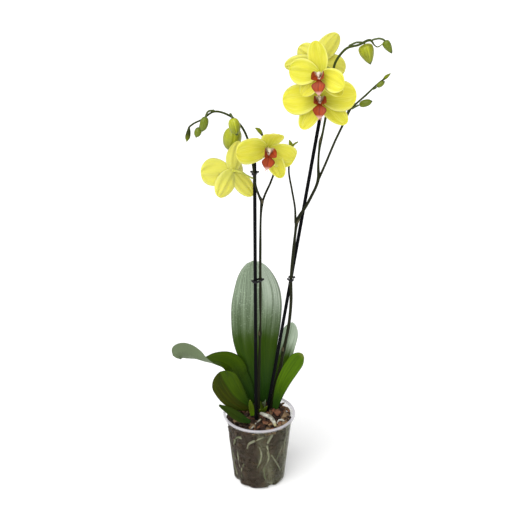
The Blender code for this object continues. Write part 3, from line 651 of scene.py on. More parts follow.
def keep_in_pot(points, settings, room=0.45):
    """Press points that lie beyond the pot's inner wall back onto it."""
    limit = wall_radius(np.clip(points[..., 2], 6.0, POT_HEIGHT - 6.0), settings.wall + room)
    turn = np.arctan2(points[..., 1], points[..., 0])
    limit = limit - (settings.gusset_depth + room) * gusset_share(turn, points[..., 2], settings)
    drop = np.clip(BASE_CORNER - points[..., 2], 0.0, BASE_CORNER)
    limit = limit - BASE_CORNER + np.sqrt(BASE_CORNER ** 2 - drop ** 2)
    distance = np.hypot(points[..., 0], points[..., 1])
    points[..., :2] *= np.minimum(1.0, limit / np.maximum(distance, 0.001))[..., None]
    points[..., 2] = np.maximum(points[..., 2], settings.wall + room)
    return points


def scatter(draw, count, *spans):
    """Rows of random numbers, one column drawn after another from each (low, high) span."""
    return np.stack([draw.uniform(low, high, count) for low, high in spans], axis=1)


def bark_core(pot):
    """The fill's body: the wall's inner side drawn in a little and closed over the top, with two
    waves of knobs, 7 and 13 to a turn, on its wall and its outer top.
    """
    heights = np.concatenate([[1.6, 1.6, 2.4, 5.0], np.linspace(9.0, BARK_TOP - 3.0, 26),
                              np.full(9, BARK_TOP - 1.5)])[:, None]
    inset = np.concatenate([[38.0, 2.0, 1.5, 1.5], np.full(26, CORE_INSET),
                            np.linspace(5.0, 52.0, 9)])[:, None]
    turn = full_turn(96)[None, :]
    knob = 0.9 * np.sin(7 * turn + heights * 0.31) + 0.8 * np.sin(13 * turn - heights * 0.23)
    radius = np.maximum(wall_radius(heights, pot.wall) - inset + knob * 0.6 - 0.6, 0.4)
    level = heights + 0.35 * knob * (inset > 4.0) * (heights > 50.0)
    return loft(keep_in_pot(around_axis(radius, turn, level), pot), marks={"tone": 0.05, "hue": 0.5})


def chip_bodies(points, tones, draw, pot):
    """Loft of many chips, each with its own tone and a hue drawn for it, kept inside the pot."""
    hues = draw.uniform(0.0, 1.0, len(points))
    return loft(keep_in_pot(points, pot), marks={"tone": tones[:, None, None],
                                                 "hue": hues[:, None, None]})


def wall_chips(count, draw, pot):
    """Chips of every height that stand against the wall."""
    turn, height, depth = scatter(draw, count, (0.0, 2 * np.pi), (4.0, BARK_TOP - 2.0), (1.6, 3.4)).T
    centres = around_axis(wall_radius(height, pot.wall) - depth, turn, height)
    sizes = scatter(draw, count, (3.0, 5.0), (6.0, 14.0), (4.0, 11.0))
    turns = np.column_stack([scatter(draw, count, (-0.9, 0.9), (-0.2, 0.2)), turn])
    tones = draw.uniform(0.0, 0.5, count) ** 1.9
    return chip_bodies(chip_points(centres, sizes, turns, 12), tones, draw, pot)


def top_chips(count, draw, pot):
    """Loose chips on the fill, heaped along part of the wall and paler on the plant's right."""
    spread, turn, lift = scatter(draw, count, (0.0, 1.0), (0.0, 2 * np.pi), (-2.2, 1.9)).T
    distance = CHIP_REACH * np.sqrt(spread)
    heap = HEAP_HEIGHT * clipped((distance - HEAP_START) / HEAP_WIDTH) * (np.sin(turn + 0.7) > -0.3)
    centres = around_axis(distance, turn, BARK_TOP + lift + heap)
    length, narrow, thick = scatter(draw, count, (5.5, 15.0), (0.35, 0.75), (2.0, 4.4)).T
    sizes = np.stack([length, length * narrow, thick], axis=1)
    turns = scatter(draw, count, (-0.7, 0.7), (-0.6, 0.6), (0.0, 2 * np.pi))
    chance, bright, dull = scatter(draw, count, (0.0, 1.0), (0.5, 1.0), (0.0, 0.4)).T
    tones = np.where(chance < np.where(centres[:, 0] > 8.0, 0.5, 0.16), bright, dull)
    return chip_bodies(chip_points(centres, sizes, turns, 13), tones, draw, pot)


def build_bark(settings, pot):
    """The fill: a bumpy core, chips pressed on the wall and loose chips heaped on top."""
    draw = np.random.default_rng(11)
    lofts = [bark_core(pot), wall_chips(settings.wall_chips, draw, pot),
             top_chips(settings.top_chips, draw, pot)]
    make_piece("bark_fill", lofts, chip_paint("damp_bark", settings, 0.25), ["bark_bed"])


# name: (centre, size, turn in degrees about Z) of the loose chips on top of the bark
CHIPS = {
    "chip_tan": ((31.0, 8.0, 118.3), (11.0, 13.0, 4.0), 35.0),
    "chip_right": ((43.0, -2.0, 118.2), (9.0, 11.0, 4.2), -20.0),
    "chip_back": ((36.0, 28.0, 118.0), (8.0, 11.0, 3.8), 50.0),
    "chip_left": ((-38.0, -16.0, 118.0), (11.0, 8.0, 3.8), 25.0),
}


def build_large_chips(settings):
    paint = chip_paint("dry_bark", settings, 0.35)
    for number, (name, (centre, size, turn)) in enumerate(CHIPS.items()):
        points = chip_points([centre], [size], [(0.12, -0.1, math.radians(turn))], 20 + number)
        marks = {"tone": 0.85, "hue": 0.85 if name == "chip_tan" else 0.25}
        item = make_piece(name + "_piece", [loft(points, marks=marks)], paint, [name])
        soften = item.modifiers.new("worn_edges", "BEVEL")
        soften.width = 0.5 * MM
        soften.segments = 2


DAMP_SKIN = (0.16, 0.165, 0.07, 1.0)
DAMP_GREEN = (0.06, 0.07, 0.022, 1.0)


def root_paint(name, settings, wet):
    """Silvery root skin: green where it is damp, with fine rings and a growing tip."""
    paint = Paint(name, {"Subsurface Weight": 0.08, "Subsurface Radius": (0.002, 0.0015, 0.001)})
    along = paint.across_and_along()[1]
    mottle = paint.noise(140.0, 4.0)
    damp = paint.noise(36.0, 2.0).within(0.36, 0.62)
    pale = 1.0 - 0.5 * wet
    skin = paint.mix(mottle.within(0.34, 0.6), solid(settings.root, 0.38 * pale),
                     solid(settings.root, pale))
    skin = paint.mix(0.75 * wet, skin, DAMP_SKIN)
    green = paint.mix(damp * wet, skin, DAMP_GREEN)
    colour = paint.mix(along.within(0.80, 0.97) * (1.0 - wet), green, solid(settings.root_tip))
    relief = paint.streaks(4.0, 90.0, 2.0) * 0.6 + 0.4 * mottle
    return paint.finish(colour, 0.55 + 0.25 * mottle, relief, 0.5, 0.0006)


# (x, y, z, radius) along each root that lies on the bark
ROOTS = {
    "root_white": ((3.5, 5.0, 118.6, 2.6), (10.5, -2.0, 119.6, 3.4), (18.0, -7.5, 119.6, 3.5),
                   (24.0, -19.0, 119.0, 3.1), (27.0, -31.0, 118.0, 2.4)),
    "root_small": ((30.5, -23.0, 117.6, 1.3), (33.5, -16.5, 118.6, 1.8), (38.0, -15.0, 118.8, 1.8),
                   (42.5, -19.0, 117.4, 1.1)),
    "root_thin": ((-12.5, -41.0, 117.2, 1.1), (-5.0, -25.0, 117.9, 1.3), (2.5, -12.5, 117.6, 1.3)),
}
# (angle in degrees from the front, height) stations and radius of each root against the pot's wall
WALL_ROOTS = (
    (((-57.0, 80.0), (-50.0, 93.0), (-42.0, 100.0), (-34.0, 101.0), (-28.0, 97.0)), 1.9),
    (((-22.0, 84.0), (-19.0, 93.0), (-8.0, 101.0), (4.0, 108.0), (14.0, 112.0)), 2.0),
    (((15.0, 92.0), (18.0, 76.0), (19.0, 62.0), (13.0, 49.0), (12.0, 30.0), (19.0, 13.0)), 1.9),
    (((-47.0, 70.0), (-47.0, 54.0), (-46.0, 36.0)), 1.6),
    (((-34.0, 46.0), (-41.0, 33.0), (-43.0, 18.0)), 1.5),
    (((26.0, 68.0), (33.0, 58.0), (43.0, 43.0), (61.0, 19.0)), 1.4),
    (((50.0, 80.0), (45.0, 68.0), (38.0, 56.0)), 1.2),
    (((24.0, 110.0), (19.0, 101.0), (15.0, 92.0)), 2.3),
    (((2.0, 86.0), (5.0, 71.0), (2.0, 58.0), (-4.0, 45.0)), 1.2),
    (((66.0, 100.0), (60.0, 88.0), (58.0, 70.0), (64.0, 52.0)), 1.3),
    (((-70.0, 60.0), (-66.0, 48.0), (-68.0, 30.0), (-60.0, 16.0)), 1.5),
)
HIDDEN_ROOTS = 22
HIDDEN_ARC = (84.0, 276.0)
ROOT_ROOM = 0.35


def wall_root(stations, radius, pot):
    """Rod that hugs the inside of the wall along (angle, height) stations and thins at its end."""
    stations = np.asarray(stations, float)
    turn = np.radians(stations[:, 0] - 90.0)
    out = wall_radius(stations[:, 1], pot.wall) - radius - ROOT_ROOM
    rows = np.column_stack([around_axis(out, turn, stations[:, 1]), np.full(len(turn), radius)])
    rows[-1, 3] *= 0.6
    middle = np.radians(stations[:, 0].mean() - 90.0)
    return rod(rows, 1.5, 12, (math.cos(middle), math.sin(middle), 0.0))


def root_relief(v, turn):
    """Two slanting waves on a root's skin."""
    return 1.0 + 0.06 * np.sin(31 * v + 2 * turn) + 0.05 * np.sin(3 * turn + 9 * v)


def build_roots(settings, pot):
    """Dry roots on the bark, and damp ones against the wall: placed in front, random behind."""
    dry = root_paint("dry_root", settings, 0.25)
    damp = root_paint("damp_root", settings, 0.95)
    for name, stations in ROOTS.items():
        thick = rod(stations, 0.7, 20, (0.0, 0.0, 1.0), root_relief)
        make_piece(name + "_skin", [thick], dry, [name])
    draw = np.random.default_rng(31)
    lofts = [wall_root(stations, radius, pot) for stations, radius in WALL_ROOTS]
    for start in np.linspace(*HIDDEN_ARC, HIDDEN_ROOTS):
        low = draw.uniform(10.0, 62.0)
        heights = np.linspace(low + draw.uniform(20.0, 45.0), low, 6)
        angles = start + np.cumsum(draw.uniform(-9.0, 9.0, 6))
        lofts.append(wall_root(np.stack([angles, heights], axis=1), draw.uniform(0.9, 1.7), pot))
    make_piece("wall_roots", lofts, damp)


# ---- canes and clips -----------------------------------------------------------------------------

CANE_RADIUS = 2.7
# name: (foot, top) of each straight cane's axis
CANES = {
    "left_cane": ((-4.6, -5.0, 24.0), (-6.0, -5.0, 557.0)),
    "right_cane": ((0.6, 22.0, 27.0), (92.2, 22.0, 625.0)),
}
# name: (cane axis, stem axis, height, stem radius)
CLIPS = {
    "clip_left_upper": ((-6.0, -5.0), (-6.7, -12.6), 541.0, 1.9),
    "clip_left_lower": ((-5.4, -5.0), (2.3, 2.0), 364.0, 2.2),
    "clip_right": ((51.4, 22.0), (50.9, 14.0), 359.0, 2.5),
}
CLIP_HEIGHT = 3.4
CLIP_WALL = 1.2
CLIP_CLEAR = 0.8
CLIP_EAR = 3.4
CLIP_EAR_OUT = 0.9


def cane_relief(v, turn):
    """Six shallow ribs and a faint unevenness along a cane."""
    return 1.0 + 0.015 * np.sin(6 * turn) + 0.006 * np.sin(40 * v)


def build_canes(settings):
    """Straight ribbed rods with rounded ends."""
    paint = Paint("cane_black", {"Specular IOR Level": 0.03})
    grain = paint.streaks(26.0, 3.0)
    # pale dust specks on the cane
    dust_and_painted_light = paint.noise(60.0, 3.0).within(0.55, 0.85)
    colour = paint.mix(dust_and_painted_light * 0.3, solid(settings.cane), solid(settings.cane, 4.0))
    material = paint.finish(colour, 0.36 + 0.22 * grain, grain, 0.25, 0.0006)
    for name, (foot, head) in CANES.items():
        rows = np.array([(*foot, CANE_RADIUS), (*head, CANE_RADIUS)])
        rows[1, :3] -= unit(rows[1, :3] - rows[0, :3]) * CANE_RADIUS
        ribbed = rod(rows, 4.0, 24, relief=cane_relief)
        make_piece(name + "_rod", [ribbed], material, [name])


def band_rings(path, middle, height, wall, steps=8):
    """Rings of a flat band along a closed path in a level plane: a rounded upright oblong section."""
    ahead = unit(np.roll(path, -1, axis=0) - np.roll(path, 1, axis=0))
    out = np.stack([ahead[:, 1], -ahead[:, 0]], axis=1)
    turn = full_turn(4 * steps)
    thin = blunt(np.cos(turn), 0.5) * wall / 2
    tall = blunt(np.sin(turn), 0.5) * height / 2
    rings = np.zeros((len(path), len(turn), 3))
    rings[..., :2] = path[:, None] + out[:, None] * thin[None, :, None]
    rings[..., 2] = middle + tall[None, :]
    return rings


def band_path(first, first_radius, second, second_radius, steps=14):
    """Points of a band stretched round two circles, anticlockwise from above."""
    ahead = math.atan2(second[1] - first[1], second[0] - first[0])
    turn = np.linspace(0.0, np.pi, steps)
    parts = []
    for centre, radius, start in ((first, first_radius, ahead + np.pi / 2),
                                  (second, second_radius, ahead - np.pi / 2)):
        parts.append(np.stack([centre[0] + radius * np.cos(turn + start),
                               centre[1] + radius * np.sin(turn + start)], axis=1))
    return np.concatenate(parts)


def ear_relief(v, turn):
    """Flattens a clip's ear to 0.45 of its depth."""
    return 0.45 + 0.55 * np.abs(np.sin(turn)) ** 0.7


def build_clips(settings):
    """A flat band round each cane and stem, with two ears that rise and widen outwards."""
    paint = Paint("clip_black", {"Coat Weight": 0.15, "Coat Roughness": 0.08,
                                 "Specular IOR Level": 0.1})
    wear = paint.noise(300.0, 3.0)
    colour = paint.mix(wear.within(0.5, 0.8), solid(settings.clip), solid(settings.clip, 3.0))
    material = paint.finish(colour, 0.22 + 0.2 * wear, wear, 0.15, 0.0003)
    for name, (cane, stem, height, stem_radius) in CLIPS.items():
        room = CLIP_CLEAR + CLIP_WALL / 2
        path = band_path(cane, CANE_RADIUS + room, stem, stem_radius + room)
        lofts = [loft(band_rings(path, height, CLIP_HEIGHT, CLIP_WALL), looped=True)]
        for edge, side in ((path[path[:, 0].argmin()], -1), (path[path[:, 0].argmax()], 1)):
            reach = side * (CLIP_EAR_OUT + CLIP_EAR / 2)
            ear = np.array([(edge[0] + reach * share, edge[1], height + 1.1 * share ** 2,
                             0.9 + 0.8 * share) for share in (-0.1, 0.3, 0.7, 1.0)])
            ear[-1, 0] -= side * 1.2
            lofts.append(rod(ear, 0.4, 16, relief=ear_relief))
        make_piece(name + "_band", lofts, material, [name])


# ---- leaves --------------------------------------------------------------------------------------

# name: (paint, fold in degrees, form, facing or one for each row, spine rows of x, y, z, half width).
# A form is how far the edges curl down, the height of their waves, where the waves start and the share
# of the length that closes as a round tip.
LEAVES = {
    "leaf_back_tall": ("leaf_silver", 9.0, (0.05, 0.8, 0.4, 0.31), (0.0, -1.0, 0.2), (
        (6.0, 38.0, 121.0, 8.5), (4.0, 37.5, 155.0, 18.0), (-1.5, 41.0, 195.0, 28.0),
        (-5.5, 45.0, 236.0, 37.5), (-4.5, 50.0, 280.0, 41.5), (-3.4, 56.0, 318.0, 41.0),
        (-6.5, 63.0, 347.0, 40.0), (-9.5, 69.0, 369.0, 39.0))),
    "leaf_left_arching": ("leaf_fresh", 12.0, (0.06, 0.8, 1.3, 0.10), (
        (0.35, -0.75, 0.55), (0.35, -0.75, 0.55), (0.3, -0.75, 0.55), (0.2, -0.5, 0.8),
        (0.1, -0.15, 1.0), (0.0, 0.16, 0.98), (0.0, 0.55, 0.8), (0.0, 0.85, 0.45),
        (0.0, 0.95, 0.2), (0.0, 0.97, 0.1), (0.0, 0.97, 0.1)), (
        (-12.5, 25.0, 124.0, 6.0), (-24.5, 21.0, 152.5, 18.0), (-37.9, 17.0, 175.7, 25.0),
        (-50.4, 11.0, 205.3, 26.0), (-66.0, 4.0, 216.7, 23.0), (-81.1, -3.0, 220.5, 19.5),
        (-95.9, -9.0, 228.7, 18.0), (-106.7, -12.0, 237.7, 17.5), (-117.5, -15.0, 244.7, 17.5),
        (-128.1, -18.0, 246.2, 17.5), (-137.4, -21.0, 241.9, 16.5))),
    "leaf_left_lower": ("leaf_olive", 12.0, (0.10, 0.5, 2.0, 0.22), (
        (0.3, -0.85, 0.45), (0.3, -0.85, 0.45), (0.3, -0.85, 0.45), (0.25, -0.85, 0.45),
        (0.2, -0.85, 0.45), (0.2, -0.85, 0.45), (0.2, -0.85, 0.45)), (
        (-10.0, 13.0, 122.0, 4.5), (-17.5, 7.0, 131.0, 8.0), (-29.0, 0.0, 143.5, 15.5),
        (-41.0, -5.5, 159.0, 21.5), (-51.5, -10.5, 178.5, 23.5), (-59.0, -15.0, 197.5, 22.5),
        (-63.0, -17.5, 210.5, 19.0))),
    "leaf_left_pointed": ("leaf_dark", 14.0, (0.04, 0.3, 0.2, 0.04), (0.3, -0.6, 0.75), (
        (-14.5, -20.0, 117.5, 3.0), (-33.0, -25.0, 130.0, 8.2), (-49.0, -26.0, 142.5, 7.0),
        (-65.5, -25.0, 153.5, 1.2))),
    "leaf_left_sliver": ("leaf_dark", 10.0, (0.00, 0.1, 0.0, 0.05), (0.4, -0.5, 0.8), (
        (-41.5, -3.0, 118.0, 1.8), (-52.0, -3.8, 127.0, 2.2), (-59.0, -4.5, 132.0, 2.0),
        (-66.0, -6.0, 140.0, 0.9))),
    "leaf_right_front": ("leaf_green", 10.0, (0.05, 0.4, 2.6, 0.16), (-0.3, -0.85, 0.4), (
        (27.0, 20.0, 119.0, 5.0), (33.5, 17.0, 151.0, 9.0), (42.5, 12.0, 179.0, 12.0),
        (53.5, 6.5, 204.0, 13.5), (64.0, 2.5, 223.0, 13.0), (71.0, 0.5, 233.5, 11.5))),
    "leaf_right_back": ("leaf_glossy", 12.0, (0.05, 0.5, 4.0, 0.16), (-0.2, -0.9, 0.3), (
        (15.5, 41.0, 119.0, 5.5), (27.0, 46.0, 155.0, 12.0), (37.5, 50.0, 190.0, 15.0),
        (46.5, 54.0, 222.0, 15.0), (53.0, 58.0, 246.0, 14.0), (56.0, 60.0, 261.5, 12.0))),
    "leaf_sheath": ("crown_green", 14.0, (0.02, 0.2, 1.0, 0.1), (0.2, -0.9, 0.3), (
        (-11.0, -1.0, 118.2, 3.2), (-12.0, 0.0, 128.0, 4.5), (-14.0, 1.0, 139.0, 3.8),
        (-15.0, 2.0, 147.0, 1.0))),
}
LEAF_GLINT = (0.58, 0.64, 0.56, 1.0)
DARK_LEAF = (0.026, 0.043, 0.004)
CROWN_GREEN = (0.060, 0.092, 0.005)


def leaf_paint(name, settings, base, shade, sheen_span=(1.4, 1.8), gloss=0.3, tan=0.0, left=None,
               sheen_brightness=1.0):
    """Strap-leaf skin: lengthwise veins, a darker foot, a painted sheen toward the tip, pale underside.

    The painted sheen, a pale silvery tint with a painted glint that stands in for reflection, spreads
    between two given shares of the length and is scaled by a given brightness; the coat's gloss
    follows it. `tan` dries the tip, and `left` recolours the half of the blade on the plant's left.
    """
    paint = Paint(name, {"Coat Roughness": 0.22, "Specular IOR Level": 0.04})
    across, along = paint.across_and_along()
    veins = paint.streaks(40.0, 2.2, 4.0)
    broad = paint.streaks(7.0, 1.3, 2.0)
    cloud = paint.noise(26.0, 4.0)
    speck = paint.noise(480.0, 3.0).within(0.56, 0.68)
    rib = 1.0 - abs(across - 0.5).within(0.0, 0.03)
    fresh = paint.mix(along.within(0.05, 0.5), solid(shade, 1.3), solid(base))
    if left is not None:
        fresh = paint.mix(across.within(0.47, 0.56) * 0.9, fresh, solid(left))
    deep = paint.mix((1.0 - broad.within(0.36, 0.66)) * 0.4, fresh, solid(shade))
    streaked = paint.mix(veins.within(0.42, 0.75) * 0.3, deep, solid(base, 1.6))
    # painted sheen: the share of the blade, toward the tip, that takes the pale silvery tint standing
    # in for reflection; the coat's real gloss follows it too
    sheen_and_gloss = (along + 0.16 * cloud + 0.30 * broad - 0.22).within(*sheen_span)
    shine = paint.mix(veins.within(0.4, 0.7), solid(settings.silver, 0.75 * sheen_brightness),
                      solid(settings.silver, 1.45 * sheen_brightness))
    # painted glint: a brighter streak on one side of the upper blade
    glint = along.within(0.60, 0.80) * (1.0 - across).within(0.46, 0.80) * veins.within(0.34, 0.62)
    shine = paint.mix(glint * 0.55, shine, LEAF_GLINT)
    with_sheen = paint.mix(sheen_and_gloss * 0.85, streaked, shine)
    specked = paint.mix(speck * sheen_and_gloss * 0.5, with_sheen, solid(settings.silver, 1.9))
    ribbed = paint.mix(rib * 0.5, specked, solid(shade, 0.8))
    under = paint.mix(veins.within(0.3, 0.8) * 0.4, solid(settings.under), solid(settings.under, 1.3))
    colour = paint.mix(paint.marked("upper").within(0.35, 0.65), under, ribbed)
    if tan:
        colour = paint.mix(along.within(0.93, 1.0) * tan, colour, solid(settings.tan))
    roughness = 0.30 + 0.16 * cloud + 0.12 * sheen_and_gloss
    return paint.finish(colour, roughness, veins * 0.6 + 0.4 * broad, 0.35, 0.0009,
                        {"Coat Weight": gloss * (0.1 + 0.9 * sheen_and_gloss)})


def leaf_lift(fold, curl, wave, phase):
    """Height over a leaf's width: a soft V fold with a groove on the midrib, edges curled and waved."""

    def lift(w, v, half):
        fold_up = math.sin(fold) * half * (np.sqrt(w ** 2 + 0.012) - 0.11)
        edge = np.abs(w) ** 3
        return fold_up - curl * half * edge + wave * edge * np.sin(v * 9.0 + phase + 0.8 * w)

    return lift


def leaf_loft(spine, facing, fold, thickness, form, rows=84):
    """Blade along a leaf's rows, its last stretch narrowed as half an ellipse to a round tip.

    `fold` is the angle of its V in degrees.
    """
    curl, wave, phase, tip = form
    spine = np.asarray(spine, float)
    facing = np.broadcast_to(facing, (len(spine), 3))
    stations = stretch_rows(np.concatenate([spine, facing], axis=1), rows)
    close = clipped((np.linspace(0.0, 1.0, rows) - (1.0 - tip)) / tip)
    half = np.maximum(stations[:, 3], 0.6) * np.sqrt(np.maximum(1.0 - close ** 2, 0.0004))
    lift = leaf_lift(math.radians(fold), curl, wave, phase)
    return blade(stations[:, :3], half, stations[:, 4:], thickness, lift, 31)


def leaf_paints(settings):
    """Paint and slot of every kind of leaf."""
    green = settings.green
    dark = settings.dark
    fresh = [0.62 * part + 0.3 * olive for part, olive in zip(green, settings.olive)]
    # the spans and brightness given set where each kind's painted sheen lies and how bright it is
    kinds = {
        "leaf_green": ("leaf_green", green, dark, dict(gloss=0.12, tan=0.25)),
        "leaf_silver": ("leaf_silver", solid(green, 0.5)[:3], dark,
                        dict(sheen_span=(0.42, 0.88), gloss=0.6)),
        "leaf_olive": ("leaf_olive", fresh, dark, dict(gloss=0.05, left=settings.olive)),
        "leaf_fresh": ("leaf_green", fresh, dark, dict(gloss=0.1)),
        "leaf_dark": ("leaf_green", DARK_LEAF, dark, dict(gloss=0.15)),
        "leaf_glossy": ("leaf_green", solid(green, 0.6)[:3], dark,
                        dict(sheen_span=(0.58, 0.84), gloss=0.8, sheen_brightness=1.8)),
        "crown_green": ("crown_green", CROWN_GREEN, green, dict(tan=0.6)),
    }
    return {kind: (leaf_paint(kind, settings, base, shade, **form), slot)
            for kind, (slot, base, shade, form) in kinds.items()}


def build_leaves(settings):
    """Every leaf as a blade, and the short stem that they grow from."""
    paints = leaf_paints(settings)
    for name, (kind, fold, form, facing, spine) in LEAVES.items():
        shape = leaf_loft(spine, facing, fold, settings.thickness, form)
        material, slot = paints[kind]
        make_piece(name + "_blade", [shape], material, [name])
    build_crown(paints["crown_green"][0])


# foot, middle and tip of each old leaf base round the crown, with half widths
CROWN_SCALES = (
    ((-6.0, 14.0, 113.0, 6.0), (-10.0, 11.0, 122.0, 6.5), (-13.5, 9.0, 130.0, 2.0)),
    ((8.0, 16.0, 113.0, 6.0), (12.0, 13.0, 121.0, 6.0), (14.0, 12.0, 129.0, 1.8)),
    ((1.0, 12.0, 113.0, 6.5), (1.5, 9.5, 119.0, 6.5), (2.0, 8.5, 125.0, 2.0)),
    ((-9.0, 26.0, 113.0, 6.5), (-12.0, 26.0, 122.0, 6.0), (-15.0, 27.0, 129.0, 1.6)),
    ((7.0, 34.0, 113.0, 6.5), (9.0, 37.0, 121.0, 6.0), (11.0, 39.0, 128.0, 1.6)),
)


CROWN_AXIS = (-1.0, 26.0)
CROWN_STUB = ((106.0, 8.5), (116.0, 9.8), (124.0, 6.5))


def build_crown(paint):
    """The short stem: a stub wrapped in the feet of old leaves, folded back round it."""
    stub = [(*CROWN_AXIS, height, radius) for height, radius in CROWN_STUB]
    lofts = [rod(stub, 1.0, 40, relief=lambda v, turn: 1.0 + 0.05 * np.sin(5 * turn + 3 * v),
                 marks={"upper": 1.0})]
    for scale in CROWN_SCALES:
        rows = np.array(scale)
        facing = unit(rows[:, :3] - (*CROWN_AXIS, 0.0)).mean(axis=0) * (1.0, 1.0, 0.0)
        lofts.append(leaf_loft(rows, unit(facing), -38.0, 1.6, (0.0, 0.2, 0.0, 0.2), 26))
    make_piece("crown_base", lofts, paint, ["crown"])


# ---- spikes and buds -----------------------------------------------------------------------------

TIP_LENGTH = 16.0
# Each spike is a main stem and the branches that fork off inside it: (x, y, z, radius) stations.
SPIKES = {
    "left_spike": (
        ((-1.0, 12.0, 117.2, 3.0), (-0.5, 9.5, 165.0, 2.6), (0.6, 6.0, 219.0, 2.4),
         (1.6, 4.0, 262.0, 2.3), (1.7, 4.0, 268.0, 2.9), (2.0, 3.0, 275.0, 2.2),
         (2.3, 2.0, 329.0, 2.2), (2.4, 2.0, 414.0, 2.1), (4.0, 0.0, 484.0, 2.2),
         (4.7, -1.0, 493.0, 2.7), (1.0, -6.5, 504.0, 1.9), (-4.5, -12.5, 523.0, 1.8),
         (-6.8, -12.5, 543.6, 1.8), (-9.8, -8.0, 561.0, 1.7),
         (-12.8, 2.0, 573.0, 1.7), (-16.0, 8.0, 587.3, 1.7), (-26.6, 8.0, 609.0, 1.7),
         (-43.3, 5.0, 624.5, 1.6), (-65.2, 0.0, 631.0, 1.5), (-81.9, -3.0, 620.5, 1.3),
         (-97.0, -5.0, 613.0, 1.4), (-101.3, -5.0, 609.0, 1.5), (-101.9, -5.3, 605.0, 2.5),
         (-103.0, -5.5, 599.0, 3.6), (-104.4, -5.5, 593.0, 3.3), (-105.3, -5.5, 588.5, 0.9)),
        ((4.5, -0.6, 489.0, 1.7), (8.8, 2.0, 501.8, 1.7), (18.5, 2.0, 525.0, 1.6),
         (23.0, 4.0, 538.8, 1.5), (21.4, 8.0, 559.9, 1.4), (13.9, 10.0, 579.0, 1.2),
         (6.0, 11.0, 592.0, 1.2), (3.4, 11.0, 597.0, 2.6), (-0.2, 11.0, 601.5, 2.9),
         (-4.5, 11.0, 604.0, 0.9)),
    ),
    "right_spike": (
        ((19.5, 28.5, 117.0, 3.3), (26.5, 28.5, 154.0, 3.2), (35.0, 28.5, 188.5, 3.0),
         (39.6, 28.5, 219.0, 2.9), (40.6, 28.5, 226.0, 3.5), (42.0, 28.0, 233.0, 2.9),
         (47.4, 26.0, 264.0, 2.7), (51.6, 19.0, 320.7, 2.5), (50.9, 14.0, 359.6, 2.4),
         (54.2, 14.0, 408.9, 2.5), (57.8, 14.0, 449.0, 2.5), (58.6, 14.0, 456.0, 3.1),
         (63.0, 14.0, 466.5, 2.4), (70.0, 13.5, 477.5, 2.3), (79.7, 14.0, 496.2, 2.3),
         (89.5, 14.0, 521.0, 2.4), (90.6, 13.5, 528.5, 2.7), (89.8, 13.0, 540.0, 2.1),
         (90.8, 12.0, 575.0, 2.0), (91.8, 12.0, 583.0, 2.5), (94.0, 12.5, 592.0, 1.9),
         (98.9, 14.0, 620.0, 1.9), (105.7, 14.0, 652.5, 1.9), (108.3, 12.0, 682.0, 1.8),
         (109.0, 8.0, 697.3, 1.8), (116.1, 4.0, 711.8, 1.8), (125.4, 0.0, 722.0, 1.8),
         (140.3, -5.0, 727.0, 1.6), (158.5, -8.0, 733.4, 1.7), (162.5, -9.0, 728.0, 1.0),
         (166.0, -10.0, 725.5, 0.9), (176.0, -12.0, 731.0, 0.6)),
        ((90.4, 13.6, 524.0, 1.9), (99.9, 16.0, 546.2, 1.8), (114.7, 18.0, 584.2, 1.7),
         (125.3, 20.0, 607.4, 1.7), (131.0, 20.0, 621.0, 1.8), (134.8, 20.0, 630.5, 2.4),
         (142.0, 20.0, 637.0, 1.6), (157.5, 20.0, 651.3, 1.5), (177.1, 20.0, 670.3, 1.3),
         (182.0, 20.0, 674.0, 1.5), (185.5, 20.0, 677.5, 2.6), (191.5, 20.0, 682.5, 0.7)),
        ((56.6, 13.6, 455.0, 1.9), (55.6, 8.0, 478.0, 1.6), (50.0, 0.0, 511.9, 1.5),
         (44.9, -3.0, 545.0, 1.4), (46.8, -0.5, 567.0, 1.5), (48.4, 1.3, 577.0, 2.0),
         (47.2, 1.8, 583.0, 2.9), (45.4, 2.0, 588.0, 0.9)),
        ((48.4, 1.3, 576.0, 1.1), (52.5, 2.0, 582.0, 1.6), (58.0, 2.0, 585.5, 0.9)),
    ),
}


def stem_paint(name, settings):
    """Stem skin: dark and olive low down, fresher near the top, with fine lengthwise streaks."""
    paint = Paint(name, {"Specular IOR Level": 0.08})
    streak = paint.streaks(9.0, 30.0, 4.0)
    cloud = paint.noise(24.0, 3.0)
    fresh = (paint.height() + 0.08 * cloud).within(0.55, 0.74)
    base = paint.mix(fresh, solid(settings.stem), solid(settings.young))
    colour = paint.mix(streak.within(0.4, 0.75) * (0.12 + 0.4 * fresh), base,
                       solid(settings.young, 1.1))
    speck = paint.noise(260.0, 2.0).within(0.62, 0.74)
    colour = paint.mix(speck * 0.4, colour, solid(settings.stem, 0.5))
    fresh_tip = paint.mix(streak, solid(settings.bud_dark, 0.5), solid(settings.bud_dark, 1.6))
    colour = paint.mix(paint.marked("growing"), colour, fresh_tip)
    dry = paint.marked("dry").within(0.3, 0.7)
    scale = paint.mix(streak.within(0.3, 0.8), solid(settings.bract), solid(settings.bract, 0.45))
    colour = paint.mix(dry, colour, scale)
    return paint.finish(colour, 0.42 + 0.2 * streak, streak, 0.3, 0.0006)


SCALE_START = -1.0
SCALE_LENGTH = 8.5


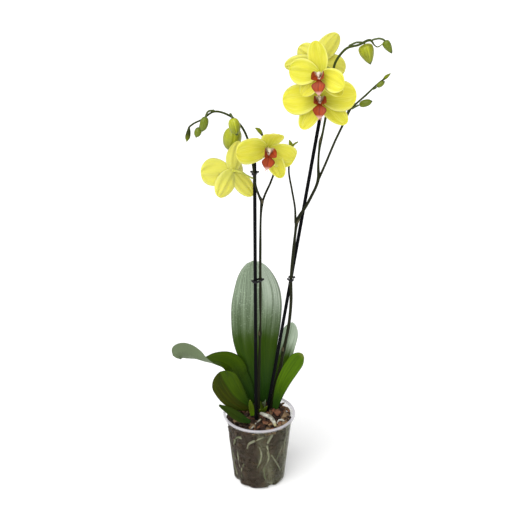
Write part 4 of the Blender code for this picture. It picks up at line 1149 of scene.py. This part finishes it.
def joint_scales(stations):
    """A dry scale that wraps the stem above each thickened joint of a (x, y, z, radius) path.

    The scales lean to the two sides in turn, widen the stem's radius a little and close to a point.
    """
    stations = np.reshape(stations, (-1, 4))
    radius = stations[:, 3]
    inner = np.flatnonzero((radius[1:-1] > radius[:-2] + 0.35) & (radius[1:-1] > radius[2:] + 0.3)) + 1
    lofts = []
    for order, index in enumerate(inner):
        start = stations[index, :3]
        ahead = unit(stations[index + 1, :3] - start)
        side = np.array((1.0 if order % 2 else -1.0, -0.8, 0.0))
        out = unit(side - ahead * side.dot(ahead))
        size = radius[index]
        share = np.linspace(0.0, 1.0, 12)
        hug = size * (1.02 - 0.10 * share) + 0.35 * share ** 2
        spine = start + ahead * (SCALE_START + SCALE_LENGTH * share)[:, None] + out * hug[:, None]
        half = size * 0.95 * np.sqrt(np.maximum(1.0 - share ** 1.6, 0.002)) + 0.05
        facing = np.broadcast_to(out, spine.shape)
        lofts.append(blade(spine, half, facing, 0.45, lambda w, v, h: -0.42 * h * w ** 2, 11,
                           {"dry": 1.0, "growing": 0.0}))
    return lofts


def stem_lofts(stations):
    """One stem or branch with its scales, the last stretch of it marked as growing."""
    tip = 1.0 - TIP_LENGTH / path_steps(stations).sum()
    marks = {"upper": 1.0, "dry": 0.0, "growing": lambda v: clipped((v - tip) * 60)}
    stem = rod(stations, 1.0, 18, marks=marks,
               relief=lambda v, turn: 1.0 + 0.03 * np.sin(3 * turn + 14 * v))
    return [stem, *joint_scales(stations[:-3])]


def build_spikes(settings):
    """Each spike as one piece: its stem, its branches and their scales."""
    material = stem_paint("spike_green", settings)
    for name, stems in SPIKES.items():
        lofts = [part for stations in stems for part in stem_lofts(stations)]
        make_piece(name + "_stem", lofts, material, [name])


# name: (stalk start, stalk bend, bud neck, bud tip, bud radius)
BUDS = {
    "bud_left_first": ((-41.0, 0.5, 627.5), (-39.8, -3.5, 627.5), (-37.8, -5.5, 623.0),
                       (-32.0, -9.0, 600.0), 8.2),
    "bud_left_second": ((-27.0, 11.0, 608.5), (-31.5, 15.0, 609.0), (-36.0, 18.5, 603.0),
                        (-43.0, 20.0, 568.5), 13.4),
    "bud_left_third": ((-65.6, -3.2, 633.5), (-73.0, -8.0, 633.0), (-76.5, -10.5, 626.0),
                       (-81.5, -12.5, 606.0), 6.0),
    "bud_left_fourth": ((-84.0, -2.0, 616.6), (-84.8, -1.5, 613.0), (-86.2, -1.5, 608.0),
                        (-91.5, -3.0, 594.5), 5.2),
    "bud_right_first": ((129.5, 3.2, 725.5), (141.0, 4.5, 729.5), (150.5, 4.5, 727.0),
                        (159.5, 1.0, 700.0), 10.6),
    "bud_right_second": ((161.5, -7.0, 735.0), (170.5, -8.5, 736.5), (177.0, -8.5, 733.5),
                         (188.0, -9.0, 716.5), 5.6),
    "bud_branch_first": ((138.6, 17.2, 632.2), (142.5, 17.5, 634.5), (148.0, 17.5, 637.0),
                         (165.5, 15.0, 643.0), 5.2),
    "bud_branch_second": ((167.5, 16.8, 661.0), (169.5, 15.3, 662.0), (172.0, 14.4, 664.5),
                          (182.5, 14.0, 672.0), 3.8),
}
STALK_RADIUS = 1.4
# (share of length, share of radius) of a round bud and of one that tapers from its shoulder
BUD_ROUND = ((0.0, 0.20), (0.03, 0.44), (0.10, 0.70), (0.22, 0.90), (0.38, 1.0), (0.56, 1.0),
             (0.72, 0.91), (0.86, 0.73), (0.95, 0.50), (1.0, 0.28))
BUD_TAPERED = ((0.0, 0.25), (0.02, 0.50), (0.07, 0.78), (0.16, 0.96), (0.28, 1.0), (0.42, 0.97),
               (0.58, 0.84), (0.74, 0.64), (0.88, 0.42), (0.96, 0.25), (1.0, 0.13))
TAPERED_BUDS = ("bud_right_first", "bud_right_second")
YOUNG_BUD_RADIUS = 7.0
YOUNG_BUD_SHADE = (0.075, 0.11, 0.005, 1.0)
YOUNG_BUD_LIGHT = (0.20, 0.25, 0.015, 1.0)


def bud_paint(name, settings):
    """Bud skin: yellow-green with darker flanks and a paler line along each seam."""
    paint = Paint(name, {"Subsurface Weight": 0.12, "Subsurface Radius": (0.003, 0.0025, 0.0006),
                         "Coat Weight": 0.25, "Coat Roughness": 0.15, "Specular IOR Level": 0.15})
    along = paint.across_and_along()[1]
    streak = paint.streaks(22.0, 3.0)
    low = (along + 0.3 * paint.noise(40.0, 2.0)).within(0.45, 1.05)
    body = paint.mix(low * 0.8, solid(settings.bud), solid(settings.bud_dark))
    body = paint.mix(streak.within(0.4, 0.8) * 0.35, body, solid(settings.bud, 1.3))
    seam = paint.marked("seam").within(0.35, 0.95)
    colour = paint.mix(seam * 0.45, body, solid(settings.bud, 1.5))
    young = paint.mix(streak, YOUNG_BUD_SHADE, YOUNG_BUD_LIGHT)
    colour = paint.mix(paint.marked("young"), colour, young)
    colour = paint.mix(paint.marked("stalk"), colour, solid(settings.young, 1.5))
    return paint.finish(colour, 0.36 + 0.2 * streak, streak, 0.25, 0.0006)


def bud_loft(start, bend, neck, tip, radius, outline):
    """Stalk and bud as one rod, whose three seams press grooves along the bud's swelling.

    A groove is a bell curve of the angle from its seam, with a low ridge beside it.
    """
    neck = np.array(neck)
    tip = np.array(tip)
    stations = [(*start, STALK_RADIUS), (*bend, STALK_RADIUS)]
    stations += [(*(neck + (tip - neck) * share), size * radius) for share, size in outline]
    stations = np.array(stations, float)
    stations[0, :3] += unit(stations[0, :3] - stations[1, :3]) * 0.8
    length = path_steps(stations).sum()
    rows = rounded(stretch_rows(stations, max(int(length / 0.6), 20)))
    stalk = np.arange(len(rows)) < path_steps(stations[:3]).sum() / length * len(rows)
    stalk[:DOME_ROWS + 1] = False
    rows[stalk, 3] = STALK_RADIUS
    away = np.abs((full_turn(60) - 0.5 + np.pi / 3) % (2 * np.pi / 3) - np.pi / 3)
    groove = np.exp(-(away / 0.13) ** 2)[None, :]
    swell = clipped((rows[:, 3:] - 1.4 * STALK_RADIUS) / radius)
    shape = 1.0 + swell * (0.05 * np.exp(-((away - 0.33) / 0.25) ** 2)[None, :] - 0.05 * groove)
    axis = unit(tip - neck)
    reference = unit(np.cross(axis, (1.0, 0.15, 0.2)))
    rings = carry(rows[:, :3], rows[:, 3], reference, 60, shape)
    return loft(rings, marks={"seam": groove * np.minimum(swell * 3.0, 1.0),
                              "stalk": 1.0 - np.minimum(swell * 4.0, 1.0),
                              "young": float(radius < YOUNG_BUD_RADIUS)})


def build_buds(settings):
    """Every bud with its stalk, in one of two outlines."""
    material = bud_paint("bud_green", settings)
    for name, form in BUDS.items():
        outline = BUD_TAPERED if name in TAPERED_BUDS else BUD_ROUND
        make_piece(name + "_bud", [bud_loft(*form, outline)], material, [name])


# ---- flowers -------------------------------------------------------------------------------------

# Each flower: height of its petals' waves, centre, facing, up, stalk stations behind it, and its five
# outer leaves as (turn from up, length, half width, tilt forward, further curl), angles in degrees.
FLOWERS = {
    "flower_left_front": {
        "wave": 1.6,
        "centre": (14.0, -30.0, 585.0), "facing": (0.22, -0.92, -0.20), "up": (0.16, 0.0, 1.0),
        "stalk": ((19.0, -12.0, 583.0), (18.5, 5.0, 577.0)),
        "dorsal": (2.0, 43.0, 16.0, 4.0, 66.0),
        "petal_left": (-98.0, 47.0, 22.0, 14.0, -6.0), "petal_right": (112.0, 45.0, 20.0, 5.0, -18.0),
        "sepal_left": (-126.0, 40.0, 13.0, 2.0, -8.0), "sepal_right": (146.0, 51.0, 13.0, -2.0, 22.0)},
    "flower_left_back": {
        "wave": 2.2,
        "centre": (-39.0, 3.0, 541.0), "facing": (-0.45, 0.85, -0.25), "up": (0.0, 0.0, 1.0),
        "stalk": ((-28.0, -10.0, 543.0), (-9.2, -13.0, 534.5)),
        "dorsal": (-12.0, 45.0, 14.0, -6.0, -26.0),
        "petal_left": (-88.0, 40.0, 18.0, 40.0, 10.0), "petal_right": (86.0, 46.0, 21.0, 8.0, 0.0),
        "sepal_left": (-146.0, 48.0, 14.0, 0.0, 0.0), "sepal_right": (140.0, 44.0, 15.5, 0.0, 0.0)},
    "flower_right_upper": {
        "wave": 1.2,
        "centre": (86.0, -38.0, 694.0), "facing": (-0.32, -0.94, 0.05), "up": (-0.1, 0.0, 1.0),
        "stalk": ((92.0, -14.0, 690.0), (105.5, 8.0, 684.0)),
        "dorsal": (-6.0, 43.0, 14.5, 2.0, 4.0),
        "petal_left": (-82.0, 41.0, 18.5, 8.0, 0.0), "petal_right": (113.0, 44.0, 16.0, 26.0, 3.0),
        "sepal_left": (-136.0, 40.0, 12.5, 0.0, 0.0), "sepal_right": (134.0, 43.0, 12.5, 4.0, 14.0)},
    "flower_right_lower": {
        "wave": 1.4,
        "centre": (87.5, -16.0, 655.0), "facing": (-0.05, -0.98, 0.1), "up": (0.0, 0.0, 1.0),
        "stalk": ((92.0, -4.0, 653.0), (101.5, 10.5, 646.0)),
        "dorsal": (0.0, 34.0, 13.0, -14.0, 0.0),
        "petal_left": (-95.0, 50.0, 22.0, 6.0, 0.0), "petal_right": (84.0, 49.0, 22.0, 6.0, 0.0),
        "sepal_left": (-151.0, 50.0, 14.0, 0.0, 0.0), "sepal_right": (133.0, 52.0, 14.0, 0.0, 0.0)},
    "flower_right_back": {
        "wave": 1.5,
        "centre": (84.0, 25.0, 700.0), "facing": (0.10, 0.97, 0.15), "up": (0.58, 0.0, 0.82),
        "stalk": ((92.0, 15.0, 697.0), (104.5, 13.0, 690.0)),
        "dorsal": (0.0, 49.0, 14.5, 0.0, 0.0),
        "petal_left": (-78.0, 42.0, 19.0, 8.0, 0.0), "petal_right": (92.0, 30.0, 14.5, 14.0, 0.0),
        "sepal_left": (-140.0, 38.0, 13.0, 1.0, 0.0), "sepal_right": (136.0, 45.5, 13.0, 1.0, 0.0)},
}
SEPAL_BACKSET = 1.7
PETAL_START = 2.0
RECEPTACLE_RADIUS = 2.4
RECEPTACLE_BACKSET = 3.3
STALK_SEAT = 6.8
RECEPTACLE_FRONT = 0.9
FLOWER_STALK_RADIUS = 1.3
# (distance out along the facing, distance up, radius) of the column
COLUMN_PATH = ((-0.5, -0.4, 2.0), (2.5, 0.1, 2.0), (5.5, 0.6, 2.5), (8.0, 0.3, 2.9), (9.6, -0.7, 2.3))
CAP_PATH = ((8.6, -0.9, 1.3), (9.8, -1.9, 1.7), (10.6, -3.0, 1.1))
# (share of length, half width) of the lip's middle lobe
MIDDLE_LOBE = ((0.0, 2.4), (0.20, 2.6), (0.34, 3.4), (0.44, 6.6), (0.52, 9.2), (0.60, 10.0),
               (0.70, 8.8), (0.82, 6.2), (0.92, 3.6), (1.0, 1.4))
LOBE_LENGTH = 28.0
# (distance ahead of the lobe's tip, to the side, along the facing, radius) of a tendril
TENDRIL = ((-1.5, 0.3, 0.0, 0.55), (1.0, 1.0, 0.3, 0.45), (2.2, 2.0, 1.2, 0.38), (2.4, 2.9, 2.4, 0.3),
           (1.6, 3.0, 3.4, 0.22))
# (distance out along the facing, distance down, radius) of each half of the callus
CALLUS = ((5.6, 5.2, 0.9), (7.2, 6.4, 1.4), (8.6, 8.0, 0.8))
CALLUS_SIDE = 1.1


def flower_frame(design):
    """Centre, facing, up and right of a flower, the three directions at right angles."""
    facing = unit(np.array(design["facing"]))
    up = np.array(design["up"])
    up = unit(up - facing * up.dot(facing))
    return np.array(design["centre"]), facing, up, np.cross(up, facing)


def bent_spine(directions, form, base, rows, spread=1.03):
    """Line that leaves a flower's centre at a turn and leans out of its plane more or less as it goes.

    The lean is tilt + curl * share of the length, and the line is the running sum of short steps in
    that direction. Steps shorten toward the tip. Also gives the blade's facing and the shares.
    """
    centre, facing, up, right = directions
    turn, length, tilt, curl = form
    outward = up * math.cos(math.radians(turn)) + right * math.sin(math.radians(turn))
    share = np.sin(np.linspace(0.0, np.pi / 2, rows)) ** 1.15 * spread
    lean = np.radians(tilt + curl * np.minimum(share, 1.0))[:, None]
    ahead = outward * np.cos(lean) + facing * np.sin(lean)
    step = np.diff(share)[:, None] * length
    spine = np.cumsum(np.concatenate([[centre + outward * base[0] + facing * base[1]],
                                      (ahead[:-1] + ahead[1:]) / 2 * step]), axis=0)
    return spine, facing * np.cos(lean) - outward * np.sin(lean), share / spread


TEPAL_CUP = 0.13


def tepal(directions, form, base, widest, thickness, wave, phase, grid=(44, 29)):
    """Petal or sepal: half width u ** rise * (1 - u) ** 0.5 along its length, cupped and waved.

    `rise` puts the broadest place at `widest`. The cup lifts both edges as the square of the distance
    from the middle, a shallow keel runs along the middle, and the wave runs along the edges.
    """
    turn, length, half_width, tilt, curl = form
    rows, columns = grid
    spine, facing, share = bent_spine(directions, (turn, length, tilt, curl), base, rows)
    rise = widest / (1.0 - widest) * 0.5
    peak = widest ** rise * (1.0 - widest) ** 0.5
    inside = 0.03 + 0.97 * share
    half = half_width * inside ** rise * np.sqrt(np.maximum(1.0 - inside, 0.0004)) / peak

    def lift(w, v, wide):
        keel = -0.45 * np.exp(-(w / 0.12) ** 2) * np.sin(np.pi * clipped(v * 1.15))
        fold = (0.2 + 0.25 * wave) * np.sin(3 * np.pi * w + phase + 2.0 * v) * np.sin(np.pi * v)
        edge = wave * np.abs(w) ** 2.5 * np.sin(7.5 * v + phase + 1.7 * w)
        return (TEPAL_CUP * wide * w ** 2 + keel + fold
                + edge * np.sin(np.pi * clipped(v * 1.05)) ** 0.5)

    return blade(spine, half, facing, thickness, lift, columns)


def petal_paint(name, settings, green, pale):
    """Petal skin: lemon yellow, greener toward the throat and in olive blotches, which are partly
    painted shade, with lengthwise veins and a paler rim and tip that are partly a painted highlight.
    """
    paint = Paint(name, {"Subsurface Weight": 0.35, "Subsurface Radius": (0.004, 0.0035, 0.0006),
                         "Subsurface Scale": 1.0, "Sheen Weight": 0.15, "Sheen Roughness": 0.4,
                         "Specular IOR Level": 0.3})
    across, along = paint.across_and_along()
    veins = paint.streaks(30.0, 2.4)
    cross = paint.streaks(10.0, 9.0, 2.0)
    cloud = paint.noise(34.0, 3.0)
    # partly painted highlight: a paler rim and tip, the thin edges' own paler tone and also painted
    # highlight
    rim = abs(across - 0.5).within(0.36, 0.5)
    far = along.within(0.80, 1.0)
    # partly painted shade: greener, darker olive toward the throat and in cloudy blotches, the petals'
    # own greener base and also shade near the flower's centre
    base = paint.mix((1.0 - along).within(0.55, 1.0) * green, solid(settings.petal, pale),
                     solid(settings.throat))
    base = paint.mix(cloud.within(0.38, 0.72) * 0.42, base, solid(settings.throat, 1.05))
    veined = paint.mix(veins.within(0.46, 0.72) * 0.4, base, solid(settings.petal_edge))
    colour = paint.mix(rim * 0.75 + far * 0.2, veined, solid(settings.petal_edge, 1.05))
    upper = paint.marked("upper").within(0.3, 0.7)
    colour = paint.mix((1.0 - upper) * 0.5, colour, solid(settings.petal_edge, 0.78))
    return paint.finish(colour, 0.42 + 0.2 * cloud, veins * 0.7 + 0.3 * cross, 0.20, 0.0007)


def lip_paint(name, settings):
    """Lip skin: orange-red with dark stripes, dark margins and a pale pink tip."""
    paint = Paint(name, {"Specular IOR Level": 0.25})
    across = paint.across_and_along()[0]
    streak = paint.streaks(16.0, 3.0, 4.0)
    spot = paint.noise(520.0, 2.0)
    stripe = 1.0 - abs(across - 0.5).within(0.01, 0.07)
    rim = abs(across - 0.5).within(0.30, 0.5)
    colour = paint.mix(streak.within(0.35, 0.75) * 0.6, solid(settings.lip, 0.7),
                       solid(settings.lip, 1.5))
    colour = paint.mix(stripe * 0.55 + rim * 0.45, colour, solid(settings.lip_dark))
    bright = paint.mix(spot.within(0.5, 0.66) * 0.7, solid(settings.column),
                       solid(settings.lip_dark, 1.6))
    colour = paint.mix(paint.marked("pale").within(0.35, 0.9), colour, bright)
    tip = (paint.marked("tip") + 0.12 * streak - 0.06).within(0.80, 0.95)
    colour = paint.mix(tip * 0.8, colour, solid(settings.lip_pale))
    return paint.finish(colour, 0.35 + 0.2 * streak, streak * 0.7 + 0.3 * spot, 0.35, 0.0006)


COLUMN_FLUSH = (0.50, 0.30, 0.14, 1.0)
STALK_PALE = (0.50, 0.50, 0.06, 1.0)
STALK_GREEN = (0.24, 0.29, 0.03, 1.0)


def column_paint(name, settings):
    """Column skin: waxy cream, flushed pinkish brown low down."""
    paint = Paint(name, {"Subsurface Weight": 0.4, "Subsurface Radius": (0.003, 0.002, 0.001),
                         "Coat Weight": 0.3, "Coat Roughness": 0.2})
    along = paint.across_and_along()[1]
    cloud = paint.noise(220.0, 3.0)
    flush = (1.0 - along + 0.2 * cloud).within(0.45, 1.0)
    colour = paint.mix(flush * 0.7, solid(settings.column), COLUMN_FLUSH)
    return paint.finish(colour, 0.35 + 0.2 * cloud, cloud, 0.15, 0.0004)


def stalk_paint(name, settings):
    """Flower stalk: pale yellow-green with soft streaks."""
    paint = Paint(name, {"Subsurface Weight": 0.15, "Subsurface Radius": (0.002, 0.002, 0.0006)})
    streak = paint.streaks(8.0, 6.0)
    body = paint.mix(paint.across_and_along()[1], STALK_PALE, STALK_GREEN)
    colour = paint.mix(streak.within(0.4, 0.75) * 0.5, body, solid(settings.petal_edge, 0.8))
    return paint.finish(colour, 0.45 + 0.2 * streak, streak, 0.25, 0.0006)


def ridge(w, width):
    """Bell curve over a section, 1 on its middle line."""
    return np.exp(-(w / width) ** 2)


def lobe_lift(w, v, half):
    """The middle lobe's cup, with a keel that rises at its foot and a groove toward its tip."""
    return 0.22 * half * w ** 2 + 0.9 * ridge(w, 0.12) * (1.0 - v) - 0.5 * ridge(w, 0.08) * v


def side_lobe_lift(w, v, half):
    """A side lobe's cup and its slow bend along its length."""
    return 0.30 * half * w ** 2 + 0.5 * np.sin(4 * v + w)


def lip_lofts(directions):
    """The lip: an arrow-shaped middle lobe with two tendrils, two upright side lobes and a callus.

    A side lobe's half width follows a sine over its length, raised to a power below 1.
    """
    centre, facing, up, right = directions
    spine, face, share = bent_spine(directions, (180.0, LOBE_LENGTH, 58.0, -64.0), (3.4, 1.6), 46)
    outline = np.array([(place * LOBE_LENGTH, 0.0, 0.0, half) for place, half in MIDDLE_LOBE])
    widths = stretch_rows(outline, 200)
    half = np.interp(share * LOBE_LENGTH, widths[:, 0], widths[:, 3])
    marks = {"pale": ((share < 0.2) * 0.8)[:, None], "tip": share[:, None]}
    lofts = [blade(spine, half, face, 1.5, lobe_lift, 25, marks)]
    end = spine[-1]
    ahead = unit(end - spine[-4])
    for side in (-1.0, 1.0):
        rail, face, place = bent_spine(directions, (side * 122.0, 16.5, 56.0, 20.0), (3.2, 2.6), 30)
        wide = 7.0 * np.sin(np.pi * clipped(0.10 + 0.90 * place)) ** 0.55 + 0.1
        marks = {"pale": ((1.0 - place) ** 2)[:, None], "tip": 0.0}
        lofts.append(blade(rail, wide, face, 0.9, side_lobe_lift, 17, marks))
        tendril = [(*(end + ahead * reach + right * side * out + facing * lift), radius)
                   for reach, out, lift, radius in TENDRIL]
        lofts.append(rod(tendril, 0.4, 8, facing, marks={"pale": 0.0, "upper": 1.0, "tip": 1.0}))
        callus = [(*(centre + facing * out - up * low + right * side * CALLUS_SIDE), radius)
                  for out, low, radius in CALLUS]
        lofts.append(rod(callus, 0.4, 12, right, marks={"pale": 1.0, "upper": 1.0, "tip": 0.0}))
    return lofts


def column_lofts(directions):
    """The column: a blunt hooded rod, broader than deep, with an anther cap at its end."""
    centre, facing, up, right = directions
    path, cap = ([(*(centre + facing * out + up * high), radius) for out, high, radius in rows]
                 for rows in (COLUMN_PATH, CAP_PATH))
    return [rod(path, 0.4, 28, up, lambda v, turn: 1.0 + 0.13 * np.cos(2 * turn) - 0.05 * v),
            rod(cap, 0.3, 20, right, lambda v, turn: 1.0 + 0.06 * np.sin(2 * turn))]


def flower_stalk(directions, stations):
    """The seat behind a flower and its stalk, with three soft ribs."""
    centre, facing, up, right = directions
    rows = [(*(centre - facing * back), radius)
            for back, radius in ((RECEPTACLE_FRONT, RECEPTACLE_RADIUS),
                                 (RECEPTACLE_BACKSET, RECEPTACLE_RADIUS), (STALK_SEAT, 1.7))]
    rows += [(*point, FLOWER_STALK_RADIUS) for point in stations]
    return rod(rows, 0.8, 18, up * 0.9 + right * 0.44,
               lambda v, turn: 1.0 + 0.07 * np.sin(3 * turn + 5 * v))


def build_flower(name, design, phase, settings, paints):
    """One flower's pieces: sepals, two petals, stalk, lip and column, waved from `phase` on."""
    directions = flower_frame(design)
    wave = design["wave"]
    thickness = settings.thickness
    sepals = [tepal(directions, design[part], (0.4, -SEPAL_BACKSET), 0.5, thickness, 0.6 * wave,
                    phase + order)
              for order, part in enumerate(("dorsal", "sepal_left", "sepal_right"))]
    make_piece(name + "_sepals", sepals, paints["sepal"], [name + "_calyx"])
    for order, side in enumerate(("left", "right")):
        node = f"{name}_petal_{side}"
        shape = tepal(directions, design["petal_" + side], (PETAL_START, 0.0), 0.58, thickness,
                      1.2 * wave, phase + 2.4 * order, (52, 35))
        make_piece(node + "_skin", [shape], paints["petal"], [node])
    make_piece(name + "_stalk", [flower_stalk(directions, design["stalk"])], paints["stalk"])
    make_piece(name + "_lip_lobes", lip_lofts(directions), paints["lip"], [name + "_lip"])
    make_piece(name + "_column_body", column_lofts(directions), paints["column"], [name + "_column"])


def build_flowers(settings):
    paints = {
        "sepal": petal_paint("sepal_yellow", settings, 0.75, 0.93),
        "petal": petal_paint("petal_yellow", settings, 0.60, 1.0),
        "lip": lip_paint("lip_orange", settings),
        "column": column_paint("column_cream", settings),
        "stalk": stalk_paint("stalk_green", settings),
    }
    for order, (name, design) in enumerate(FLOWERS.items()):
        build_flower(name, design, 1.7 * order, settings, paints)


# ---- stage ---------------------------------------------------------------------------------------


FLOOR_DROP = 0.4
# (radius, depth) of the floor's rings from its middle over its edge to its underside
FLOOR_RINGS = ((0.5, 0.0), (200.0, 0.0), (700.0, 0.0), (2500.0, 0.0), (30000.0, 0.0),
               (30000.0, 20.0), (0.5, 20.0))
KEY_DIRECTION = (-0.50, -0.80, 0.95)


def build_floor(settings):
    """A pale round floor, slightly uneven in tone and far wider than the view."""
    radius, depth = np.hsplit(np.array(FLOOR_RINGS), 2)
    shape = loft(around_axis(radius, -full_turn(96)[None, :], -depth - FLOOR_DROP)[::-1])
    paint = Paint("pale_floor", {"Specular IOR Level": 0.1, "Emission Color": (1.0, 1.0, 1.0, 1.0),
                                 "Emission Strength": settings.glow})
    colour = paint.mix(paint.noise(3.0, 2.0), solid(settings.floor), solid(settings.floor, 0.985))
    mesh = bpy.data.meshes.new("floor")
    mesh.from_pydata(shape["points"] * MM, [], shape["quads"].tolist() + shape["fans"].tolist())
    mesh.materials.append(paint.finish(colour, 0.85))
    floor = bpy.data.objects.new("floor", mesh)
    bpy.context.scene.collection.objects.link(floor)


def add_light(settings):
    """A wide, distant light from the upper left front, so the floor is evenly bright."""
    lamp = bpy.data.lights.new("key", "SUN")
    lamp.energy = settings.key
    lamp.angle = settings.softness
    item = bpy.data.objects.new("key", lamp)
    bpy.context.scene.collection.objects.link(item)
    back = unit(np.array(KEY_DIRECTION))
    item.rotation_euler = (math.acos(back[2]), 0.0, math.atan2(back[0], -back[1]))


def build_stage(settings):
    """White sky, floor, light and camera."""
    scene = bpy.context.scene
    world = bpy.data.worlds.new("studio")
    world.use_nodes = True
    sky = world.node_tree.nodes["Background"]
    sky.inputs["Color"].default_value = (1.0, 1.0, 1.0, 1.0)
    sky.inputs["Strength"].default_value = settings.sky
    scene.world = world
    scene.view_settings.view_transform = "Standard"
    build_floor(settings)
    add_light(settings)
    camera = bpy.data.cameras.new("camera")
    camera.sensor_width = 36.0
    camera.lens = settings.lens
    camera.clip_start = 0.05
    camera.clip_end = 60.0
    eye = bpy.data.objects.new("camera", camera)
    scene.collection.objects.link(eye)
    eye.location = settings.place
    eye.rotation_euler = (math.pi / 2 - settings.pitch, 0.0, 0.0)
    scene.camera = eye


# ---- operators, panel and start ------------------------------------------------------------------


class ORCHID_OT_stage(bpy.types.Operator):
    """Set up the floor, the soft light and the camera"""
    bl_idname = "orchid.stage"
    bl_label = "Stage"

    def execute(self, context):
        build_stage(context.scene.orchid_stage)
        return {"FINISHED"}


class ORCHID_OT_pot(bpy.types.Operator):
    """Make the clear pot with its lip and drain gussets"""
    bl_idname = "orchid.pot"
    bl_label = "Pot"

    def execute(self, context):
        build_pot(context.scene.orchid_pot)
        return {"FINISHED"}


class ORCHID_OT_bark(bpy.types.Operator):
    """Fill the pot with bark and lay the large chips on top"""
    bl_idname = "orchid.bark"
    bl_label = "Bark"

    def execute(self, context):
        build_bark(context.scene.orchid_bark, context.scene.orchid_pot)
        build_large_chips(context.scene.orchid_bark)
        return {"FINISHED"}


class ORCHID_OT_roots(bpy.types.Operator):
    """Lay roots over the bark and against the pot's wall"""
    bl_idname = "orchid.roots"
    bl_label = "Roots"

    def execute(self, context):
        build_roots(context.scene.orchid_bark, context.scene.orchid_pot)
        return {"FINISHED"}


class ORCHID_OT_leaves(bpy.types.Operator):
    """Make the strap leaves and the short stem they grow from"""
    bl_idname = "orchid.leaves"
    bl_label = "Leaves"

    def execute(self, context):
        build_leaves(context.scene.orchid_leaf)
        return {"FINISHED"}


class ORCHID_OT_supports(bpy.types.Operator):
    """Make the canes and the clips that hold the spikes to them"""
    bl_idname = "orchid.supports"
    bl_label = "Canes and clips"

    def execute(self, context):
        build_canes(context.scene.orchid_stem)
        build_clips(context.scene.orchid_stem)
        return {"FINISHED"}


class ORCHID_OT_spikes(bpy.types.Operator):
    """Make the flower spikes with their joints and dry scales"""
    bl_idname = "orchid.spikes"
    bl_label = "Spikes"

    def execute(self, context):
        build_spikes(context.scene.orchid_stem)
        return {"FINISHED"}


class ORCHID_OT_buds(bpy.types.Operator):
    """Hang the buds on the spikes"""
    bl_idname = "orchid.buds"
    bl_label = "Buds"

    def execute(self, context):
        build_buds(context.scene.orchid_stem)
        return {"FINISHED"}


class ORCHID_OT_flowers(bpy.types.Operator):
    """Make the open flowers"""
    bl_idname = "orchid.flowers"
    bl_label = "Flowers"

    def execute(self, context):
        build_flowers(context.scene.orchid_flower)
        return {"FINISHED"}


SETTINGS = {
    "orchid_stage": OrchidStageSettings,
    "orchid_pot": OrchidPotSettings,
    "orchid_bark": OrchidBarkSettings,
    "orchid_leaf": OrchidLeafSettings,
    "orchid_stem": OrchidStemSettings,
    "orchid_flower": OrchidFlowerSettings,
}
OPERATORS = (ORCHID_OT_stage, ORCHID_OT_pot, ORCHID_OT_bark, ORCHID_OT_roots, ORCHID_OT_leaves,
             ORCHID_OT_supports, ORCHID_OT_spikes, ORCHID_OT_buds, ORCHID_OT_flowers)


class ORCHID_PT_panel(bpy.types.Panel):
    """Lists the plant's settings and the steps that make it"""
    bl_idname = "ORCHID_PT_panel"
    bl_label = "Potted Orchid"
    bl_space_type = "VIEW_3D"
    bl_region_type = "UI"
    bl_category = "Orchid"

    def draw(self, context):
        for step in OPERATORS:
            self.layout.operator(step.bl_idname)
        for name in SETTINGS:
            group = getattr(context.scene, name)
            box = self.layout.box()
            for setting in group.__annotations__:
                box.prop(group, setting)


def register():
    for group in (*SETTINGS.values(), *OPERATORS, ORCHID_PT_panel):
        bpy.utils.register_class(group)
    for name, group in SETTINGS.items():
        setattr(bpy.types.Scene, name, bpy.props.PointerProperty(type=group))


def unregister():
    for name in SETTINGS:
        delattr(bpy.types.Scene, name)
    for group in reversed((*SETTINGS.values(), *OPERATORS, ORCHID_PT_panel)):
        bpy.utils.unregister_class(group)


def main():
    register()
    for step in OPERATORS:
        getattr(bpy.ops.orchid, step.bl_idname.split(".")[1])()


if __name__ == "__main__":
    main()
